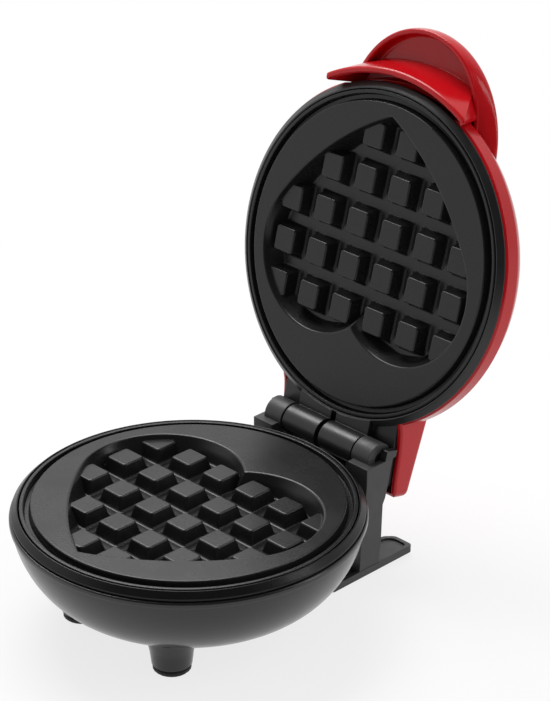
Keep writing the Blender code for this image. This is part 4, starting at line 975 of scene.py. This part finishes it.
BOSS_RADIUS = 4.0
BOSS_SPAN = (9.6, 18.0)
BOSS_BORE_SPAN = (8.0, 15.6)
LENS = (-40.0, 2.6)
LENS_SPAN = (22, 29)
SHELL_RED = (0.47, 0.004, 0.008)


def smooth_rows(rows, steps):
    """Rows of numbers with a smooth curve drawn through them."""
    table = np.array([rows[0], *rows, rows[-1]], float)
    drawn = []
    for before, start, end, after in zip(table, table[1:], table[2:], table[3:]):
        for k in range(steps):
            t = k / steps
            bend = (2 * before - 5 * start + 4 * end - after) * t * t
            bend += (3 * start - before - 3 * end + after) * t**3
            drawn.append(tuple(start + 0.5 * ((end - before) * t + bend)))
    return [*drawn, tuple(rows[-1])]


def oval(section, inset=0.0, height=None):
    """A ring of the handle at a section, drawn in by an inset."""
    own_height, half_width, half_depth, centre = section
    level = own_height if height is None else height
    points = []
    for i in range(HANDLE_TURN):
        angle = 2 * math.pi * i / HANDLE_TURN
        x = (half_width - inset) * math.cos(angle)
        points.append((x, centre + (half_depth - inset) * math.sin(angle), level))
    return points


def dome_curve(inset):
    """The dome's outside, or a skin inside it, as (radius, height) from the top down."""
    points = []
    for i in range(DOME_STEPS + 1):
        angle = math.pi / 2 * (1 - i / DOME_STEPS)
        width = (DOME_RADIUS - inset) * math.cos(angle) ** (2 / DOME_ROUND)
        rise = (DOME_TOP - DOME_LOW - inset) * math.sin(angle) ** (2 / DOME_RISE)
        points.append((width, DOME_LOW + rise))
    points[0] = (0, points[0][1])
    return points


def visor_side(height, inset):
    """The visor's plan at a height: a wedge that narrows forwards and upwards."""
    half, side_y, flare, lean = VISOR_SIDE
    corners = []
    for y in (VISOR_FRONT, side_y):
        corners.append((half - inset - lean * (height - VISOR[0][1]) + flare * (y - side_y), y))
    (front_x, front_y), (back_x, back_y) = corners
    end_round = max(VISOR_END - inset, LEAST_ROUND)
    plan = [(front_x, front_y), (back_x, back_y, end_round)]
    plan += [(-back_x, back_y, end_round), (-front_x, front_y)]
    return [(x, y, height) for x, y in filleted(plan, steps=8)]


heel_low_line = filleted(HEEL_LOW_LINE, closed=False, steps=6)


def heel_section(y, inset):
    """The heel cut across at a place along it, as a rounded oblong drawn in by an inset."""
    low = np.interp(y, *zip(*heel_low_line)) + inset
    high = np.interp(y, *zip(*HEEL_TOP_LINE)) - inset
    half = HEEL_HALF - inset
    top_round = max(HEEL_TOP_ROUND - inset, LEAST_ROUND)
    low_round = max(HEEL_LOW_ROUND - inset, LEAST_ROUND)
    corners = [(half, low, low_round), (half, high, top_round)]
    corners += [(-half, high, top_round), (-half, low, low_round)]
    return [(x, y, z) for x, z in filleted(corners, steps=6)]


dome_outside = [point for point in dome_curve(0) if point[1] > DOME_LOW + DOME_END]
skirt_low = SKIRT[-1][1]
skirt_corners = [dome_outside[-1], *SKIRT, (SKIRT_INSIDE - SKIRT_EDGE, skirt_low)]
skirt_outside = filleted(skirt_corners, closed=False)
shell = solid_object("shell", turned([*dome_outside[:-1], *skirt_outside, (0, skirt_low)]))
heel_places = np.linspace(HEEL_LOW_LINE[0][0], HEEL_REAR - HEEL_END_ROUND, HEEL_STEPS)
heel_rows = [(y, 0.0) for y in heel_places]
for k in range(1, HEEL_END_STEPS + 1):
    angle = math.pi / 2 * k / HEEL_END_STEPS
    along = HEEL_REAR - HEEL_END_ROUND * (1 - math.sin(angle))
    heel_rows.append((along, HEEL_END_ROUND * (1 - math.cos(angle))))
heel = solid_object("heel", lofted([heel_section(*row) for row in heel_rows]))

rim = HANDLE_SECTIONS[0]
rim_height = rim[0]
handle_rows = smooth_rows(HANDLE_SECTIONS, HANDLE_STEPS)
outside_rows = [row for row in handle_rows if row[0] > rim_height + 2 * RIM_ROUND]
handle_rings = [oval(row) for row in reversed(outside_rows)]
for k in range(RIM_STEPS + 1):
    angle = math.pi / 2 * k / RIM_STEPS
    drop = RIM_ROUND * (1 - math.sin(angle))
    handle_rings.append(oval(rim, RIM_ROUND * (1 - math.cos(angle)), rim_height + drop))
for k in range(RIM_STEPS + 1):
    angle = math.pi / 2 * k / RIM_STEPS
    inward = HANDLE_WALL - RIM_ROUND * (1 - math.sin(angle))
    handle_rings.append(oval(rim, inward, rim_height + RIM_ROUND * (1 - math.cos(angle))))
for k in range(RIM_STEPS + 1):
    angle = math.pi / 2 * k / RIM_STEPS
    inward = HANDLE_WALL + POCKET_ROUND * (1 - math.cos(angle))
    handle_rings.append(oval(rim, inward, POCKET_TOP - POCKET_ROUND * (1 - math.sin(angle))))
handle = solid_object("handle", lofted(handle_rings))

(low_radius, low_height), (high_radius, high_height) = VISOR
visor_profile = filleted(
    [
        (0, high_height),
        (high_radius, high_height, 0.5),
        (low_radius, low_height, 1.1),
        (0, low_height),
    ],
    closed=False,
)
visor = solid_object("visor", turned(visor_profile))
wedge = lofted([visor_side(low_height - OVERRUN, 0), visor_side(high_height + OVERRUN, 0)])
carved(visor, "INTERSECT", solid_object("wedge", wedge))
half, top = VISOR_SIDE[0], high_height + 1
low_x, low_z = half - VISOR_LOW_CORNER[0], low_height - VISOR_LOW_CORNER[1]
front_corners = [(low_x, low_z, VISOR_CORNER), (half, top)]
front_corners += [(-half, top), (-low_x, low_z, VISOR_CORNER)]
front_view = filleted(front_corners, steps=8)
front_view = lofted([[(x, y, z) for x, z in front_view] for y in (VISOR_FRONT, 0)])
carved(visor, "INTERSECT", solid_object("front_view", front_view))
slope = (high_radius - low_radius) / (high_height - low_height)
wall_radius = low_radius - VISOR_WALL
hollow_profile = filleted(
    [
        (0, VISOR_HOLLOW),
        (VISOR_DEEP[0], VISOR_HOLLOW),
        (VISOR_DEEP[0], VISOR_DEEP[1], 0.8),
        (wall_radius + slope * (VISOR_DEEP[1] - low_height), VISOR_DEEP[1], 1.2),
        (wall_radius + slope, low_height + 1, 1.2),
        (wall_radius + 1, low_height - 0.2),
        (wall_radius + 1, low_height - OVERRUN),
        (0, low_height - OVERRUN),
    ],
    closed=False,
)
hollow = solid_object("visor_hollow", turned(hollow_profile))
wedge_ends = (low_height - OVERRUN, VISOR_DEEP[1] + 1)
wedge = lofted([visor_side(height, VISOR_WALL) for height in wedge_ends])
carved(hollow, "INTERSECT", solid_object("wedge", wedge))

carved(shell, "UNION", heel, handle, visor)
inner = dome_curve(SHELL_WALL)
ring_room = rod(SKIRT_INSIDE, (0, 0, 0), (0, 0, DOME_LOW + GAP), TURNS)
dome_room = turned([*inner, (inner[-1][0], 0), (0, 0)])
room_half = HEEL_HALF - HEEL_WALL
heel_room = prism(filleted(HEEL_ROOM), -room_half, room_half, sideways=True)
lens_start, lens_end = [(0, LENS[0], z) for z in LENS_SPAN]
lens_hole = rod(LENS[1] + GAP, lens_start, lens_end)
rooms = [solid_object("room", room) for room in (ring_room, dome_room, heel_room, lens_hole)]
carved(shell, "DIFFERENCE", hollow, *rooms)
bosses = []
bores = []
for x, y in HEEL_SCREWS:
    start, end = [(x, y, z) for z in BOSS_SPAN]
    bosses.append(solid_object("boss", rod(BOSS_RADIUS, start, end)))
    start, end = [(x, y, z) for z in BOSS_BORE_SPAN]
    bores.append(solid_object("bore", rod(SCREW_BORE, start, end)))
carved(shell, "UNION", *bosses)
carved(shell, "DIFFERENCE", *bores)
shell_plastic = plastic(
    "glossy_red_shell",
    SHELL_RED,
    (0.14, 0.22),
    bump=0.10,
    depth=0.012,
    drift=0.03,
    Specular_IOR_Level=0.32,
)
finished(shell, shell_plastic, LID, "lid", ["lid_shell"])

# The indicator: a clear red plastic light pipe, moulded in one piece and pressed into a hole in
# the top of the lid shell.
LENS_RED = (0.80, 0.05, 0.03)
lens_plastic = plastic(
    "clear_red_lens", LENS_RED, (0.06, 0.10), bump=0.05, depth=0.01, Transmission_Weight=0.5
)
dress(["indicator_lens"], lens_plastic)

# What is inside or underneath: steel screws and hinge pins, tube heaters with pressed sheet
# reflectors, a fired clay thermostat body and terminal block, wires in woven sleeves, and the
# rubber bushing of the cord.
STEEL_GREY = (0.56, 0.56, 0.55)
SHEET_GREY = (0.74, 0.75, 0.76)
CLAY = (0.72, 0.68, 0.60)
SLEEVE_WHITE = (0.76, 0.75, 0.71)


def make_metal_skin():
    """Rolled or drawn metal: short scratches, a slight stain and an uneven polish."""
    tree, given, made = skin_group(
        "worked_metal", Colour=(0.6, 0.6, 0.6, 1.0), Gloss_low=0.25, Gloss_high=0.45
    )
    place = tree.nodes.new("ShaderNodeTexCoord").outputs["Object"]
    stretch = tree.nodes.new("ShaderNodeMapping")
    stretch.inputs["Scale"].default_value = (1.0, 14.0, 14.0)
    tree.links.new(place, stretch.inputs["Vector"])
    scratch = noise(tree, stretch.outputs["Vector"], 260.0, 4.0, 0.7)
    stain = noise(tree, place, 120.0, 3.0)
    tint = tree.nodes.new("ShaderNodeHueSaturation")
    tree.links.new(given.outputs["Colour"], tint.inputs["Color"])
    tree.links.new(span(tree, stain, 0.85, 1.05, 0.3, 0.7), tint.inputs["Value"])
    tree.links.new(tint.outputs["Color"], made.inputs["Colour"])
    gloss = span(tree, scratch, given.outputs["Gloss low"], given.outputs["Gloss high"], 0.3, 0.7)
    tree.links.new(gloss, made.inputs["Roughness"])
    tree.links.new(scratch, made.inputs["Height"])
    return tree


worked_metal = make_metal_skin()


def metal(name, colour, gloss):
    """A worked metal: a colour and a range of roughness."""
    settings = {"Colour": (*colour, 1.0), "Gloss low": gloss[0], "Gloss high": gloss[1]}
    return surface(name, worked_metal, settings, bump=0.2, bump_depth=0.01, Metallic=1.0)


steel = metal("plain_steel", STEEL_GREY, (0.24, 0.42))
sheet = metal("pressed_sheet", SHEET_GREY, (0.30, 0.48))
fired_clay = plastic("fired_clay", CLAY, (0.5, 0.65), grain=1800.0, bump=0.5, depth=0.04)
sleeve = plastic(
    "woven_wire_sleeve", SLEEVE_WHITE, (0.5, 0.65), grain=3200.0, bump=0.7, depth=0.05
)
steel_names = [name for name in nodes if "screw" in name or "pin" in name]
dress([*steel_names, "lower_element", "upper_element", "thermal_fuse"], steel)
dress(["lower_reflector", "upper_reflector"], sheet)
dress(["thermostat", "terminal_block"], fired_clay)
dress([name for name in nodes if "lead" in name], sleeve)
dress(["cord_bushing"], rubber)
